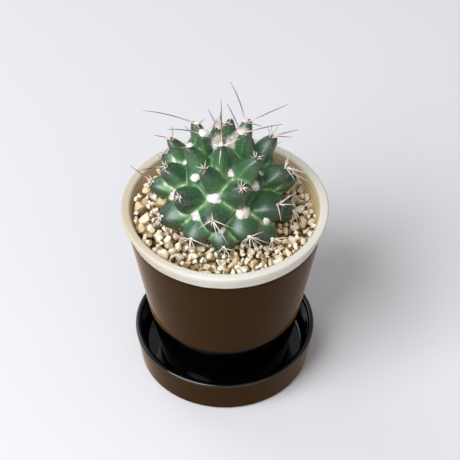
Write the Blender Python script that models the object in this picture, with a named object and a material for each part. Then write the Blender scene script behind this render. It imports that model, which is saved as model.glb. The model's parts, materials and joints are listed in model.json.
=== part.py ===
"""Potted pincushion cactus (Mammillaria magnimamma) in a black glazed pot on its saucer.

Metres, +Z up. The origin is the centre of the saucer's underside. The front of the plant faces -Y.
"""

import math
import random

import bmesh
import bpy
from mathutils import Vector

MM = 0.001

# Turning and fit
TURNED_STEPS = 48
REST_GAP = 0.3

# Saucer, millimetres
SAUCER_FLOOR = 4.0
SAUCER_HEIGHT = 17.6
SAUCER_FOOT_RADIUS = 38.4
SAUCER_FOOT_EDGE = 0.9
SAUCER_RIM_RADIUS = 40.7
SAUCER_RIM_FILLET = 1.35
SAUCER_INNER_RADIUS = 36.2
SAUCER_INNER_FILLET = 2.0
SAUCER_WALL_BEND = (36.9, 9.0)

# Pot, millimetres
POT_FOOT = SAUCER_FLOOR + REST_GAP
POT_FOOT_RADIUS = 29.4
POT_FOOT_EDGE = 0.5
POT_FOOT_RING_INNER = 23.0
POT_FOOT_RING_HEIGHT = 2.2
POT_INNER_TOP = 86.0
POT_INNER_TOP_RADIUS = 40.2
POT_FLOOR = 11.0
POT_FLOOR_RADIUS = 25.0
POT_FLOOR_FILLET_RADIUS = 23.4
POT_FLOOR_FILLET_RISE = 2.0
DRAIN_HOLE_RADIUS = 6.0
FOOT_NOTCHES = 3
FOOT_NOTCH_WIDTH = 8.0
FOOT_NOTCH_OVERRUN = 3.0

# The pot's lip as radius and height: from the glaze line up the rim, over it and down inside
POT_LIP = (
    (42.7, 82.4), (43.2, 83.8), (44.0, 85.8), (44.8, 87.6), (45.0, 88.7), (44.6, 89.6),
    (43.6, 90.0), (42.0, 90.0), (41.1, 89.5), (40.7, 88.4),
)

# Drain net over the hole, millimetres
NET_SIDE = 18.0
NET_HOLES = 5
NET_BAR = 1.1
NET_THICKNESS = 0.8

# Fill of the pot, millimetres
DRAINAGE_TOP = 24.0
DRAINAGE_FLOOR_RADIUS = 22.6
DRAINAGE_EDGE_RISE = 2.4
MIX_TOP = 71.7
BED_TOP = 77.2
STONE_COUNT = 24
STONE_THROWS = 20000
STONE_RADII = (2.3, 3.2)
STONE_NEAREST = 0.5
STONE_STANDOFF = 0.2
STONE_CORNERS = 18
STONE_WIDTH = (0.7, 0.95)
STONE_HEIGHT = (0.62, 0.9)
STONE_SEED = 11

# Plant, millimetres and degrees
PLANT_X = -1.0
PLANT_Y = 6.5
PLANT_Z = 88.0
TIP_RADIUS = 32.0
TIP_HEIGHT = 40.0
CORE_RADIUS = 24.5
CORE_HEIGHT = 33.0
CORE_SEAT = 0.8
ASCENT_AT_CROWN = 18.0
ASCENT_FADE = 0.16
TUBERCLE_WIDTH = (4.6, 9.4)
TUBERCLE_DEPTH = (5.0, 7.6)
FULL_SIZE_POLAR = 52.0
TUBERCLE_SIDES = 12
TUBERCLE_RINGS = (0.0, 0.35, 0.65, 0.87, 1.0)
AREOLE_SHARE = 0.26
SWELL_POWER = 1.7
DIAMOND_POWER = (1.25, 2.0)
SPINE_ROOT_RADIUS = 0.38
SPINE_TIP_RADIUS = 0.14
SPINE_SIDES = 5
SPINE_STEPS = 4
SPINE_SUNK = 1.6
SPINE_SPREAD = 0.7
SOCKET_CLEARANCE = 0.4
SOCKET_OVERRUN = 5.0
CORE_STEP = 15
CORE_SIDES = 32

# The stem below its widest ring, as radius and height: shoulder, neck and tap root
STEM_FOOT = ((21.6, 84.0), (20.2, 79.0), (16.0, 75.0), (10.5, 72.0), (6.0, 69.0), (4.2, 62.0), (2.6, 53.0))
ROOT_TIP = 50.0

# One row for each tubercle: the azimuth and the polar angle of its tip as seen from the plant's
# middle, how near it comes to the full outline, then its long spines as heading, rise, droop
# (all degrees) and length
TUBERCLES = (
    # Crown
    (-93, 16, 1.0, ((92, 72, 6, 20), (-6, 35, 0, 9))),
    (-167, 15, 1.0, ((-167, 35, 28, 16),)),
    (-6, 15, 1.0, ((152, 66, 6, 15), (-10, 30, 10, 18))),
    (67, 12, 1.0, ()),
    (109, 11, 0.93, ((164, 60, 4, 8),)),
    # Shoulder
    (-156, 28, 1.0, ((-152, 22, 14, 11),)),
    (-114, 35, 1.0, ()),
    (-38, 33, 1.0, ()),
    (45, 26, 1.0, ((136, 80, 34, 18), (0, 30, 2, 20))),
    (143, 26, 1.0, ((-177, 34, 26, 24),)),
    (94, 38, 0.85, ((90, 20, 20, 7),)),
    # Upper side
    (-71, 47, 1.0, ((-78, 0, 16, 8),)),
    (-168, 53, 1.0, ((-165, 8, 14, 11),)),
    (-8, 57, 1.0, ((-23, 5, 14, 11),)),
    (21, 44, 1.0, ((8, 16, 6, 11),)),
    (62, 48, 0.82, ((64, 12, 14, 8),)),
    (128, 48, 0.8, ((126, 12, 16, 8),)),
    (162, 46, 1.0, ((170, 12, 10, 7),)),
    # Widest ring
    (-131, 59, 1.0, ((-127, -8, 12, 8),)),
    (-98, 68, 1.0, ((-58, -12, 12, 12),)),
    (-39, 69, 1.0, ((28, 24, 6, 9),)),
    (9, 75, 1.0, ()),
    (-173, 71, 1.0, ((154, 24, -4, 11),)),
    (38, 66, 0.86, ((40, 12, 14, 8),)),
    (76, 66, 0.87, ()),
    (108, 65, 0.87, ((110, 14, 12, 8),)),
    (142, 68, 0.86, ()),
    # Low on the gravel
    (-145, 81, 1.0, ()),
    (-115, 85, 1.0, ()),
    (-89, 89, 0.98, ()),
    (-69, 82, 1.0, ((-87, 0, 34, 13),)),
    (-48, 92, 1.0, ()),
    (-16, 89, 1.0, ((18, 26, 12, 9),)),
    (24, 90, 1.0, ()),
    (56, 86, 1.0, ()),
    (90, 88, 1.0, ()),
    (124, 86, 1.0, ()),
    (156, 89, 1.0, ()),
)


# Shared helpers


def clear_scene():
    for item in list(bpy.data.objects):
        bpy.data.objects.remove(item, do_unlink=True)


def material(name, colour, roughness, metallic=0.0):
    made = bpy.data.materials.new(name)
    made.use_nodes = True
    shader = made.node_tree.nodes["Principled BSDF"]
    shader.inputs["Base Color"].default_value = (*colour, 1.0)
    shader.inputs["Roughness"].default_value = roughness
    shader.inputs["Metallic"].default_value = metallic
    return made


def add_object(name, shape, finish, smooth=True):
    """A bmesh in millimetres becomes a named object in metres."""
    bmesh.ops.scale(shape, vec=(MM, MM, MM), verts=shape.verts)
    bmesh.ops.recalc_face_normals(shape, faces=shape.faces)
    mesh = bpy.data.meshes.new(name)
    shape.to_mesh(mesh)
    shape.free()
    if finish:
        mesh.materials.append(finish)
    if smooth:
        mesh.shade_smooth()
        mesh.set_sharp_from_angle(angle=math.radians(35))
    made = bpy.data.objects.new(name, mesh)
    bpy.context.scene.collection.objects.link(made)
    return made


def make_cutter(item):
    item.hide_render = True
    item.display_type = "WIRE"


def cut(target, cutter, operation="DIFFERENCE", own_overlaps=False):
    make_cutter(cutter)
    modifier = target.modifiers.new(cutter.name, "BOOLEAN")
    modifier.operation = operation
    modifier.solver = "EXACT"
    modifier.use_self = own_overlaps
    modifier.object = cutter


def arc(centre_r, centre_z, radius, start, end, steps):
    """Points of an arc in the radius and height plane, from one angle to another in degrees."""
    points = []
    for step in range(steps + 1):
        angle = math.radians(start + (end - start) * step / steps)
        points.append((centre_r + radius * math.cos(angle), centre_z + radius * math.sin(angle)))
    return points


def turned(outline, centre=(0.0, 0.0), steps=TURNED_STEPS):
    """Turns a closed outline of (radius, height) points about a vertical axis. Points on it are poles."""
    shape = bmesh.new()
    rings = []
    for radius, height in outline:
        if radius == 0.0:
            rings.append([shape.verts.new((centre[0], centre[1], height))])
            continue
        ring = []
        for step in range(steps):
            angle = 2 * math.pi * step / steps
            x = centre[0] + radius * math.cos(angle)
            y = centre[1] + radius * math.sin(angle)
            ring.append(shape.verts.new((x, y, height)))
        rings.append(ring)
    pairs = list(zip(rings, rings[1:] + rings[:1]))
    for lower, upper in pairs:
        if len(lower) == 1 and len(upper) == 1:
            continue
        for step in range(steps):
            corners = [lower[step % len(lower)], lower[(step + 1) % len(lower)]]
            corners += [upper[(step + 1) % len(upper)], upper[step % len(upper)]]
            shape.faces.new(list(dict.fromkeys(corners)))
    return shape


# Pot and saucer


def pot_inner_radius(height):
    """The straight inside wall of the pot, from its floor to just below the lip."""
    share = (height - POT_FLOOR) / (POT_INNER_TOP - POT_FLOOR)
    return POT_FLOOR_RADIUS + (POT_INNER_TOP_RADIUS - POT_FLOOR_RADIUS) * share


def make_saucer(glaze):
    rim = SAUCER_RIM_RADIUS - SAUCER_RIM_FILLET
    inner = SAUCER_INNER_RADIUS - SAUCER_INNER_FILLET
    outline = [(0.0, 0.0), (SAUCER_FOOT_RADIUS - SAUCER_FOOT_EDGE, 0.0)]
    outline += [(SAUCER_FOOT_RADIUS, SAUCER_FOOT_EDGE)]
    outline += arc(rim, SAUCER_HEIGHT - SAUCER_RIM_FILLET, SAUCER_RIM_FILLET, -10, 180, 7)
    outline += [SAUCER_WALL_BEND]
    outline += arc(inner, SAUCER_FLOOR + SAUCER_INNER_FILLET, SAUCER_INNER_FILLET, 0, -90, 3)
    outline += [(0.0, SAUCER_FLOOR)]
    return add_object("saucer", turned(outline), glaze)


def make_pot(glaze):
    ring_top = POT_FOOT + POT_FOOT_RING_HEIGHT
    bend = POT_FLOOR + POT_FLOOR_FILLET_RISE
    outline = [(POT_FOOT_RING_INNER, POT_FOOT), (POT_FOOT_RADIUS - POT_FOOT_EDGE, POT_FOOT)]
    outline += [(POT_FOOT_RADIUS, POT_FOOT + POT_FOOT_EDGE)]
    outline += POT_LIP
    outline += [(POT_INNER_TOP_RADIUS, POT_INNER_TOP), (pot_inner_radius(bend), bend)]
    outline += [(POT_FLOOR_FILLET_RADIUS, POT_FLOOR), (DRAIN_HOLE_RADIUS, POT_FLOOR)]
    outline += [(DRAIN_HOLE_RADIUS, ring_top), (POT_FOOT_RING_INNER, ring_top)]
    pot = add_object("pot", turned(outline), glaze)
    for index in range(FOOT_NOTCHES):
        cut(pot, foot_notch(index))
    return pot


def foot_notch(index):
    """A block that cuts a water way through the foot ring."""
    shape = bmesh.new()
    bmesh.ops.create_cube(shape, size=1.0)
    length = POT_FOOT_RADIUS - POT_FOOT_RING_INNER + 2 * FOOT_NOTCH_OVERRUN
    bmesh.ops.scale(shape, vec=(length, FOOT_NOTCH_WIDTH, POT_FOOT_RING_HEIGHT), verts=shape.verts)
    middle = Vector(((POT_FOOT_RADIUS + POT_FOOT_RING_INNER) / 2, 0.0, POT_FOOT))
    bmesh.ops.translate(shape, vec=middle, verts=shape.verts)
    notch = add_object(f"foot_notch_{index}", shape, None, smooth=False)
    notch.rotation_euler.z = 2 * math.pi * (index + 0.25) / FOOT_NOTCHES
    return notch


# Fill of the pot


def make_drain_net(plastic):
    """A square of moulded net: a flat lattice given its thickness."""
    shape = bmesh.new()
    bmesh.ops.create_grid(shape, x_segments=NET_HOLES, y_segments=NET_HOLES, size=NET_SIDE / 2)
    cells = list(shape.faces)
    bmesh.ops.inset_individual(shape, faces=cells, thickness=NET_BAR / 2)
    bmesh.ops.delete(shape, geom=cells, context="FACES")
    bmesh.ops.translate(shape, vec=(0, 0, POT_FLOOR + REST_GAP), verts=shape.verts)
    net = add_object("drain_net", shape, plastic, smooth=False)
    solidify = net.modifiers.new("thickness", "SOLIDIFY")
    solidify.thickness = NET_THICKNESS * MM
    solidify.offset = 1.0
    return net


def make_drainage(stone):
    floor = POT_FLOOR + REST_GAP
    over_net = floor + NET_THICKNESS + REST_GAP
    net_corner = NET_SIDE / math.sqrt(2) + REST_GAP
    edge = POT_FLOOR + DRAINAGE_EDGE_RISE
    outline = [(0.0, over_net), (net_corner, over_net), (net_corner, floor), (DRAINAGE_FLOOR_RADIUS, floor)]
    outline += [(pot_inner_radius(edge) - REST_GAP, edge)]
    outline += [(pot_inner_radius(DRAINAGE_TOP) - REST_GAP, DRAINAGE_TOP), (0.0, DRAINAGE_TOP)]
    return add_object("drainage_gravel", turned(outline), stone)


def socket_outline(lowest):
    """The hole that the stem and root leave, from its lowest point up, widened by a small clearance."""
    points = []
    for radius, height in reversed(STEM_FOOT):
        if height > lowest:
            points.append((radius + SOCKET_CLEARANCE, height))
    return points


def stem_radius(height):
    """The stem's radius at a height between two points of its foot."""
    for (upper_r, upper_z), (lower_r, lower_z) in zip(STEM_FOOT, STEM_FOOT[1:]):
        if lower_z <= height <= upper_z:
            return lower_r + (upper_r - lower_r) * (height - lower_z) / (upper_z - lower_z)
    return STEM_FOOT[0][0]


def fill_ring(outer_bottom, outer_top, socket):
    """A layer that fills the pot and is bored out around the plant, which stands off the pot's axis."""
    outline = [(0.0, outer_bottom), (pot_inner_radius(outer_bottom) - REST_GAP, outer_bottom)]
    outline += [(pot_inner_radius(outer_top) - REST_GAP, outer_top), (0.0, outer_top)]
    layer = turned(outline)
    bore = turned(socket, centre=(PLANT_X, PLANT_Y), steps=CORE_SIDES)
    return layer, bore


def make_potting_mix(soil):
    bottom = DRAINAGE_TOP + REST_GAP
    socket = [(0.0, ROOT_TIP - SOCKET_CLEARANCE)]
    socket += [point for point in socket_outline(ROOT_TIP) if point[1] < MIX_TOP]
    mouth = stem_radius(MIX_TOP) + SOCKET_CLEARANCE
    socket += [(mouth, MIX_TOP), (mouth, MIX_TOP + SOCKET_OVERRUN), (0.0, MIX_TOP + SOCKET_OVERRUN)]
    layer, bore = fill_ring(bottom, MIX_TOP, socket)
    mix = add_object("potting_mix", layer, soil)
    cut(mix, add_object("root_socket", bore, None))
    return mix


def make_gravel_bed(stone):
    bottom = MIX_TOP + REST_GAP
    below, above = bottom - SOCKET_OVERRUN, BED_TOP + SOCKET_OVERRUN
    neck = stem_radius(bottom) + SOCKET_CLEARANCE
    mouth = stem_radius(BED_TOP) + SOCKET_CLEARANCE
    socket = [(0.0, below), (neck, below), (neck, bottom)]
    socket += [point for point in socket_outline(bottom) if point[1] < BED_TOP]
    socket += [(mouth, BED_TOP), (mouth, above), (0.0, above)]
    layer, bore = fill_ring(bottom, BED_TOP, socket)
    bed = add_object("gravel_bed", layer, stone)
    cut(bed, add_object("stem_socket", bore, None))
    return bed


def stone_places():
    """Seeded throws of stones into the free crescent between the plant and the pot's wall."""
    dice = random.Random(STONE_SEED)
    wall = pot_inner_radius(BED_TOP)
    found = []
    for _ in range(STONE_THROWS):
        radius = dice.uniform(*STONE_RADII)
        reach = wall - REST_GAP - radius
        angle = dice.uniform(0, 2 * math.pi)
        away = reach * math.sqrt(dice.uniform(STONE_NEAREST, 1.0))
        x, y = away * math.cos(angle), away * math.sin(angle)
        if math.hypot(x - PLANT_X, y - PLANT_Y) < TIP_RADIUS + radius + STONE_STANDOFF:
            continue
        if all(math.hypot(x - other[0], y - other[1]) > radius + other[2] + REST_GAP for other in found):
            found.append((x, y, radius))
    return found[:STONE_COUNT]


def make_stone(index, place, stone):
    """A broken piece of rock: the hull of points on a squashed ball."""
    x, y, radius = place
    dice = random.Random(STONE_SEED * 100 + index)
    squash = Vector((1.0, dice.uniform(*STONE_WIDTH), dice.uniform(*STONE_HEIGHT)))
    shape = bmesh.new()
    for _ in range(STONE_CORNERS):
        spot = Vector((dice.gauss(0, 1), dice.gauss(0, 1), dice.gauss(0, 1))).normalized()
        shape.verts.new(spot * squash * radius)
    hull = bmesh.ops.convex_hull(shape, input=shape.verts)
    loose = [item for item in hull["geom_interior"] if isinstance(item, bmesh.types.BMVert)]
    bmesh.ops.delete(shape, geom=loose, context="VERTS")
    turn = dice.uniform(0, 2 * math.pi)
    for vert in shape.verts:
        flat = vert.co.xy.copy()
        vert.co.x = flat.x * math.cos(turn) - flat.y * math.sin(turn)
        vert.co.y = flat.x * math.sin(turn) + flat.y * math.cos(turn)
    lowest = min(vert.co.z for vert in shape.verts)
    bmesh.ops.translate(shape, vec=(x, y, BED_TOP + REST_GAP - lowest), verts=shape.verts)
    return add_object(f"gravel_stone_{index + 1:02d}", shape, stone, smooth=False)


# Plant


def on_ellipsoid(azimuth, polar, radius, height):
    """A point about the plant's middle, from its azimuth and its angle from the vertical, in degrees."""
    around, down = math.radians(azimuth), math.radians(polar)
    x = PLANT_X + radius * math.sin(down) * math.cos(around)
    y = PLANT_Y + radius * math.sin(down) * math.sin(around)
    return Vector((x, y, PLANT_Z + height * math.cos(down)))


def tubercle_axis(azimuth, polar, near):
    """Root and tip of a tubercle. The root sits lower on the core, so the tubercle points upwards a little."""
    root_polar = polar + ASCENT_AT_CROWN - ASCENT_FADE * polar
    root = on_ellipsoid(azimuth, root_polar, CORE_RADIUS * CORE_SEAT, CORE_HEIGHT * CORE_SEAT)
    return root, on_ellipsoid(azimuth, polar, TIP_RADIUS * near, TIP_HEIGHT * near)


def between(pair, share):
    return pair[0] + (pair[1] - pair[0]) * share


def add_tubercle(shape, azimuth, polar, near):
    """A diamond-sided cone with bulging faces and a blunt tip."""
    root, tip = tubercle_axis(azimuth, polar, near)
    axis = tip - root
    around = math.radians(azimuth)
    side = Vector((-math.sin(around), math.cos(around), 0.0))
    rise = side.cross(axis.normalized())
    size = min(1.0, polar / FULL_SIZE_POLAR)
    half_width = between(TUBERCLE_WIDTH, size)
    half_depth = between(TUBERCLE_DEPTH, size)
    rings = []
    for share in TUBERCLE_RINGS:
        swell = 1.0 - (1.0 - AREOLE_SHARE) * share**SWELL_POWER
        power = between(DIAMOND_POWER, share)
        ring = []
        for step in range(TUBERCLE_SIDES):
            angle = 2 * math.pi * step / TUBERCLE_SIDES
            cos_a, sin_a = math.cos(angle), math.sin(angle)
            reach = swell / (abs(cos_a) ** power + abs(sin_a) ** power) ** (1 / power)
            across = side * (half_width * reach * cos_a)
            spot = root + axis * share + across + rise * (half_depth * reach * sin_a)
            ring.append(shape.verts.new(spot))
        rings.append(ring)
    for lower, upper in zip(rings, rings[1:]):
        for step in range(TUBERCLE_SIDES):
            after = (step + 1) % TUBERCLE_SIDES
            shape.faces.new((lower[step], lower[after], upper[after], upper[step]))
    shape.faces.new(list(reversed(rings[0])))
    shape.faces.new(rings[-1])


def spine_path(azimuth, polar, near, heading, rise, droop, length):
    """Points from inside the tubercle's tip along a spine that droops evenly over its length."""
    root, tip = tubercle_axis(azimuth, polar, near)
    level = Vector((math.cos(math.radians(heading)), math.sin(math.radians(heading)), 0.0))
    point = tip + level * SPINE_SPREAD
    path = [tip - (tip - root).normalized() * SPINE_SUNK + level * SPINE_SPREAD / 2, point]
    for step in range(SPINE_STEPS):
        slope = math.radians(rise - droop * (step + 0.5) / SPINE_STEPS)
        point = point + (level * math.cos(slope) + Vector((0, 0, math.sin(slope)))) * length / SPINE_STEPS
        path.append(point)
    return path


def add_spine(shape, path):
    """A tapered needle with a blunt end along the path."""
    rings = []
    for index, point in enumerate(path):
        ahead = path[min(index + 1, len(path) - 1)] - path[max(index - 1, 0)]
        frame = ahead.to_track_quat("Z", "Y")
        share = index / (len(path) - 1)
        radius = between((SPINE_ROOT_RADIUS, SPINE_TIP_RADIUS), share)
        ring = []
        for step in range(SPINE_SIDES):
            angle = 2 * math.pi * step / SPINE_SIDES
            offset = frame @ Vector((radius * math.cos(angle), radius * math.sin(angle), 0.0))
            ring.append(shape.verts.new(point + offset))
        rings.append(ring)
    for lower, upper in zip(rings, rings[1:]):
        for step in range(SPINE_SIDES):
            after = (step + 1) % SPINE_SIDES
            shape.faces.new((lower[step], lower[after], upper[after], upper[step]))
    shape.faces.new(list(reversed(rings[0])))
    shape.faces.new(rings[-1])


def make_cactus(skin):
    """Stem and tap root as one turned core, joined with every tubercle and long spine."""
    outline = [(0.0, ROOT_TIP)] + list(reversed(STEM_FOOT))
    for polar in range(90, 0, -CORE_STEP):
        down = math.radians(polar)
        outline.append((CORE_RADIUS * math.sin(down), PLANT_Z + CORE_HEIGHT * math.cos(down)))
    outline.append((0.0, PLANT_Z + CORE_HEIGHT))
    cactus = add_object("cactus", turned(outline, centre=(PLANT_X, PLANT_Y), steps=CORE_SIDES), skin)
    growth = bmesh.new()
    for azimuth, polar, near, spines in TUBERCLES:
        add_tubercle(growth, azimuth, polar, near)
        for heading, rise, droop, length in spines:
            add_spine(growth, spine_path(azimuth, polar, near, heading, rise, droop, length))
    cut(cactus, add_object("cactus_growth", growth, None), operation="UNION", own_overlaps=True)
    return cactus


def main():
    clear_scene()
    glaze = material("black glaze", (0.010, 0.008, 0.007), 0.12)
    gravel = material("pale gravel", (0.62, 0.52, 0.38), 0.85)
    make_saucer(glaze)
    make_pot(glaze)
    make_drain_net(material("net plastic", (0.03, 0.03, 0.03), 0.5))
    make_drainage(material("coarse pumice", (0.45, 0.40, 0.32), 0.9))
    make_potting_mix(material("potting mix", (0.06, 0.04, 0.025), 0.95))
    make_gravel_bed(gravel)
    for index, place in enumerate(stone_places()):
        make_stone(index, place, gravel)
    make_cactus(material("cactus skin", (0.025, 0.10, 0.04), 0.45))


main()
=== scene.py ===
"""Potted pincushion cactus: a Mammillaria in pale gravel, in a black glazed pot with a bare clay rim, on its saucer.

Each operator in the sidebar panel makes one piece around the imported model. The tables and lengths here are in
millimetres and degrees unless a comment says metres, and +Z is up. The front of the plant faces -Y.
"""

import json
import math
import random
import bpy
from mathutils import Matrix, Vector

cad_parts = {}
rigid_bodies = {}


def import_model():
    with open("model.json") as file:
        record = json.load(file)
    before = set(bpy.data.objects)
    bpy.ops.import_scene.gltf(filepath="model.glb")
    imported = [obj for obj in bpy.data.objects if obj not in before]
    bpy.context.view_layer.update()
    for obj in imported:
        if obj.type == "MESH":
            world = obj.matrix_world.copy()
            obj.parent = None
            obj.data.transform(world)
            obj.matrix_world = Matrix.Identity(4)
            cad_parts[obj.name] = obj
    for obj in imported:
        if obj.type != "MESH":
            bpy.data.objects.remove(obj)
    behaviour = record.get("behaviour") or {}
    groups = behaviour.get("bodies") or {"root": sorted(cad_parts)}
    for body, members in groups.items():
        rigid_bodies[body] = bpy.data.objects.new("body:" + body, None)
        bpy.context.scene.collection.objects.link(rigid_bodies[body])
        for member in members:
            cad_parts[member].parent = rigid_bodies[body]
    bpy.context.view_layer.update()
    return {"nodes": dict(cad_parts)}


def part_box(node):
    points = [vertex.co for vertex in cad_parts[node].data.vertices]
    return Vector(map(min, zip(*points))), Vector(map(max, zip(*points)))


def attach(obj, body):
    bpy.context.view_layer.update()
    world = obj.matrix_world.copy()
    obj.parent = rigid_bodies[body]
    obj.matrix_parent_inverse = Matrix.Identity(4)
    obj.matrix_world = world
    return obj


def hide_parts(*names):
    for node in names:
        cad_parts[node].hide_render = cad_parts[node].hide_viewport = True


bl_info = {
    "name": "Potted Pincushion Cactus",
    "version": (1, 0, 0),
    "blender": (4, 5, 0),
    "location": "3D View > Sidebar > Potted Cactus",
    "description": "Makes a pincushion cactus, its gravel, its glazed pot and its saucer around the packed model",
    "category": "Add Mesh",
}

from collections import namedtuple
from functools import partial

import bmesh
import bpy
import numpy as np
from mathutils import Matrix, Vector, noise
from mathutils.bvhtree import BVHTree

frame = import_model()
MM = 0.001
SHARP_ANGLE = 50

# Pot: height of its rim, and its inside wall's two ends as radius and height
POT_TOP = 90.0
WALL_LOW, WALL_HIGH = (25.0, 11.0), (40.2, 86.0)
# The foot ring's outer radius and the heights of its underside and of the glaze's lower edge
FOOT_RADIUS, FOOT_HEIGHT, GLAZE_FOOT = 29.4, 4.3, 4.9
# The foot ring's inner radius, the drain hole's radius and the height of the floor's underside
RING_RADIUS, HOLE_RADIUS, UNDERSIDE = 23.0, 6.0, 6.5
# Water ways through the foot ring: how many, the sides of the block that cuts one, and its middle
NOTCHES, NOTCH_SIDES, NOTCH_MIDDLE = 3, (12.4, 8.0, 2.2), (26.2, 0.0, 4.4)
# Saucer: radii of its underside and its lower corner, thickness of its wall at the rim and height of its floor
SAUCER_FOOT, SAUCER_CORNER, SAUCER_WALL, SAUCER_FLOOR = 37.5, 38.4, 2.75, 4.0
# Waves in the glaze's top line, as height, waves around and phase
GLAZE_WAVES = ((0.22, 3, 0.6), (0.16, 7, 2.0), (0.1, 17, 0.0))
# The glaze's three states: the setting with its colour, its specular level, its specular tint and its sheen
# Painted reflection: the dipped state's warm brown, warm specular tint and brown sheen stand in for warm surroundings
# reflected in the black glaze, and the other two states keep the glaze's own black
GLAZES = {
    "dipped": ("glaze", 0.02, (1.0, 0.6, 0.35), 0.4),
    "pooled": ("glaze_deep", 0.6, (1.0, 1.0, 1.0), 0.0),
    "at foot": ("glaze_deep", 0.08, (1.0, 1.0, 1.0), 0.0),
}

# The layers in the pot: the finish's name, the tones of its pieces, a piece's width and the painted shade in the gaps
PACKED = {
    # Pumice, crushed and sieved coarse: pale grey
    "drainage_gravel": ("coarse pumice crushed", ("#CFC7B4", "#B5AA94", "#DDD6C6", "#9C9484"), 6.0, "#2E261C"),
    # Bark, peat and baked clay: dark crumbs
    "potting_mix": ("potting mix crumbled", ("#3B2A1C", "#5A4129", "#2A1E15", "#7A6146", "#463222"), 2.2, "#140D08"),
    # The gravel below the loose grains, in their colours and in their shade
    "gravel_bed": ("pale gravel packed", ("#E0CCA6", "#C2A97D", "#D2BB90", "#B39C74"), 3.6, "#6E5A3E"),
}

# The plant's middle, and the ellipsoids that its tubercles run between and its stem follows: radius, half height
MIDDLE = (-1.0, 6.5, 88.0)
TIP_ELLIPSOID = (32.0, 40.0)
ROOT_ELLIPSOID = (24.5 * 0.8, 33.0 * 0.8)
STEM_ELLIPSOID = (22.0, 30.0)
STEM_FOOT = ((21.6, 84.0), (20.2, 79.0), (16.0, 75.0), (10.5, 72.0), (6.0, 69.0), (4.2, 62.0), (2.6, 53.0))
ROOT_TIP = 50.0
# How much lower than its tip a tubercle's root lies in the crown, and how that fades with the polar angle
ASCENT_AT_CROWN, ASCENT_FADE = 15.0, 0.24
# The polar angle from which a tubercle has its full size, and the one from which and over which brow and chin grow
FULL_SIZE_POLAR, BROW_FROM, BROW_OVER = 52.0, 26, 40
# Share of a tubercle's girth that is left at its tip, in the crown and full grown
TIP_SHARE = (0.46, 0.27)
# The power of a tubercle's outline at its foot and how much that grows, the power it narrows by, and its bulge
DIAMOND, ROUNDER, NARROWING, BULGE = 1.35, 0.5, 1.8, 0.65
VIGOUR_SEED = 21

# One row for each tubercle: azimuth and polar angle of its tip, how near it comes to the tip ellipsoid, and its
# spines as heading, rise, droop and length
TUBERCLES = (
    # Crown
    (-93, 16, 1.0, ((92, 72, 6, 20), (-6, 35, 0, 9), (-96, -5, 20, 9))),
    (-167, 15, 1.0, ((-167, 35, 28, 16), (20, 52, 4, 11))),
    (-6, 15, 1.0, ((152, 66, 6, 15), (-10, 30, 10, 18))),
    (67, 12, 0.965, ((67, 60, 0, 4),)),
    (109, 11, 0.93, ((-160, 72, 4, 12),)),
    # Shoulder
    (-156, 28, 1.0, ((-152, 22, 14, 11),)),
    (-114, 35, 1.0, ()),
    (-38, 33, 1.0, ()),
    (45, 26, 0.98, ((136, 80, 34, 19.2), (0, 31, 0, 20), (-35, 20, 14, 8))),
    (143, 26, 0.98, ((-177, 34, 26, 24), (170, 30, 10, 5), (-30, 60, 0, 6), (-77, 20, 0, 11))),
    (94, 38, 0.85, ((90, 20, 20, 7),)),
    # Upper side
    (-71, 47, 1.0, ((81, 60, 0, 3.5), (-37, 20, 8, 6), (-78, 0, 16, 8), (-134, 20, 0, 4))),
    (-168, 53, 0.965, ((138, 45, 0, 6), (-165, 8, 14, 11))),
    (-8, 57, 1.0, ((68, 50, 0, 6), (-23, 5, 14, 11), (-58, -8, 10, 7))),
    (21, 44, 1.0, ((8, 16, 6, 11), (-4, 4, 6, 8), (130, 60, 0, 5), (46, 50, 0, 5), (90, 60, 0, 5))),
    (62, 48, 0.82, ((64, 12, 14, 8),)),
    (128, 48, 0.8, ((126, 12, 16, 8),)),
    (162, 46, 1.0, ((170, 12, 10, 7), (84, 60, -10, 5.5))),
    # Widest ring
    (-131, 59, 1.0, ((-127, -8, 12, 8),)),
    (-98, 68, 1.0, ((-146, -5, 8, 7), (-73, -25, 16, 8), (-58, -12, 12, 12), (97, 50, 0, 3), (-26, 0, 8, 8))),
    (-39, 69, 1.0, ((28, 24, 6, 9), (2, 0, 10, 7), (-78, -20, 12, 7))),
    (9, 75, 1.0, ((-38, 0, 10, 7.5), (-50, -20, 10, 7))),
    (-173, 71, 1.0, ((154, 24, -4, 11),)),
    (38, 66, 0.86, ((40, 12, 14, 8),)),
    (76, 66, 0.87, ()),
    (116, 66, 0.87, ((110, 14, 12, 8),)),
    (158, 62, 0.93, ()),
    # Low on the gravel
    (-145, 81, 1.0, ((-158, 0, 14, 6), (-128, -10, 20, 8), (5, 30, 8, 4))),
    (-115, 85, 1.0, ((-178, 10, 8, 5), (-89, -10, 20, 6), (-28, 0, 10, 7))),
    (-89, 89, 0.98, ()),
    (-69, 82, 1.0, ((23, 10, 8, 6), (-13, -10, 8, 8), (-87, 0, 34, 13), (-140, 0, 8, 3.5))),
    (-48, 92, 1.0, ((1, 10, 10, 9), (-14, 0, 10, 8.5))),
    (-16, 89, 1.0, ((18, 26, 12, 9), (-100, 8, 20, 12), (-78, -12, 8, 4))),
    (24, 90, 1.0, ()),
    (56, 86, 1.0, ()),
    (90, 88, 1.0, ()),
    (124, 86, 1.0, ()),
    (156, 89, 0.9, ()),
)

# Tubercles that lean or are slimmer: degrees that the root is turned round and lowered, and the share of girth
LEANING = {
    (-114, 35): (14, 0, 1.0),
    (-156, 28): (28, 0, 1.0),
    (-38, 33): (-18, 0, 1.0),
    (-8, 57): (0, 0, 0.82),
    (21, 44): (0, 0, 0.84),
    (-168, 53): (0, 0, 0.86),
    (-173, 71): (0, 0, 0.85),
    (162, 46): (0, 0, 0.68),
    (-131, 59): (0, 0, 0.94),
    (-98, 68): (0, -3, 1.0),
    (-69, 82): (0, -3, 1.0),
    (-145, 81): (4, -1, 1.05),
    (-39, 69): (0, 3, 1.08),
}

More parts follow.
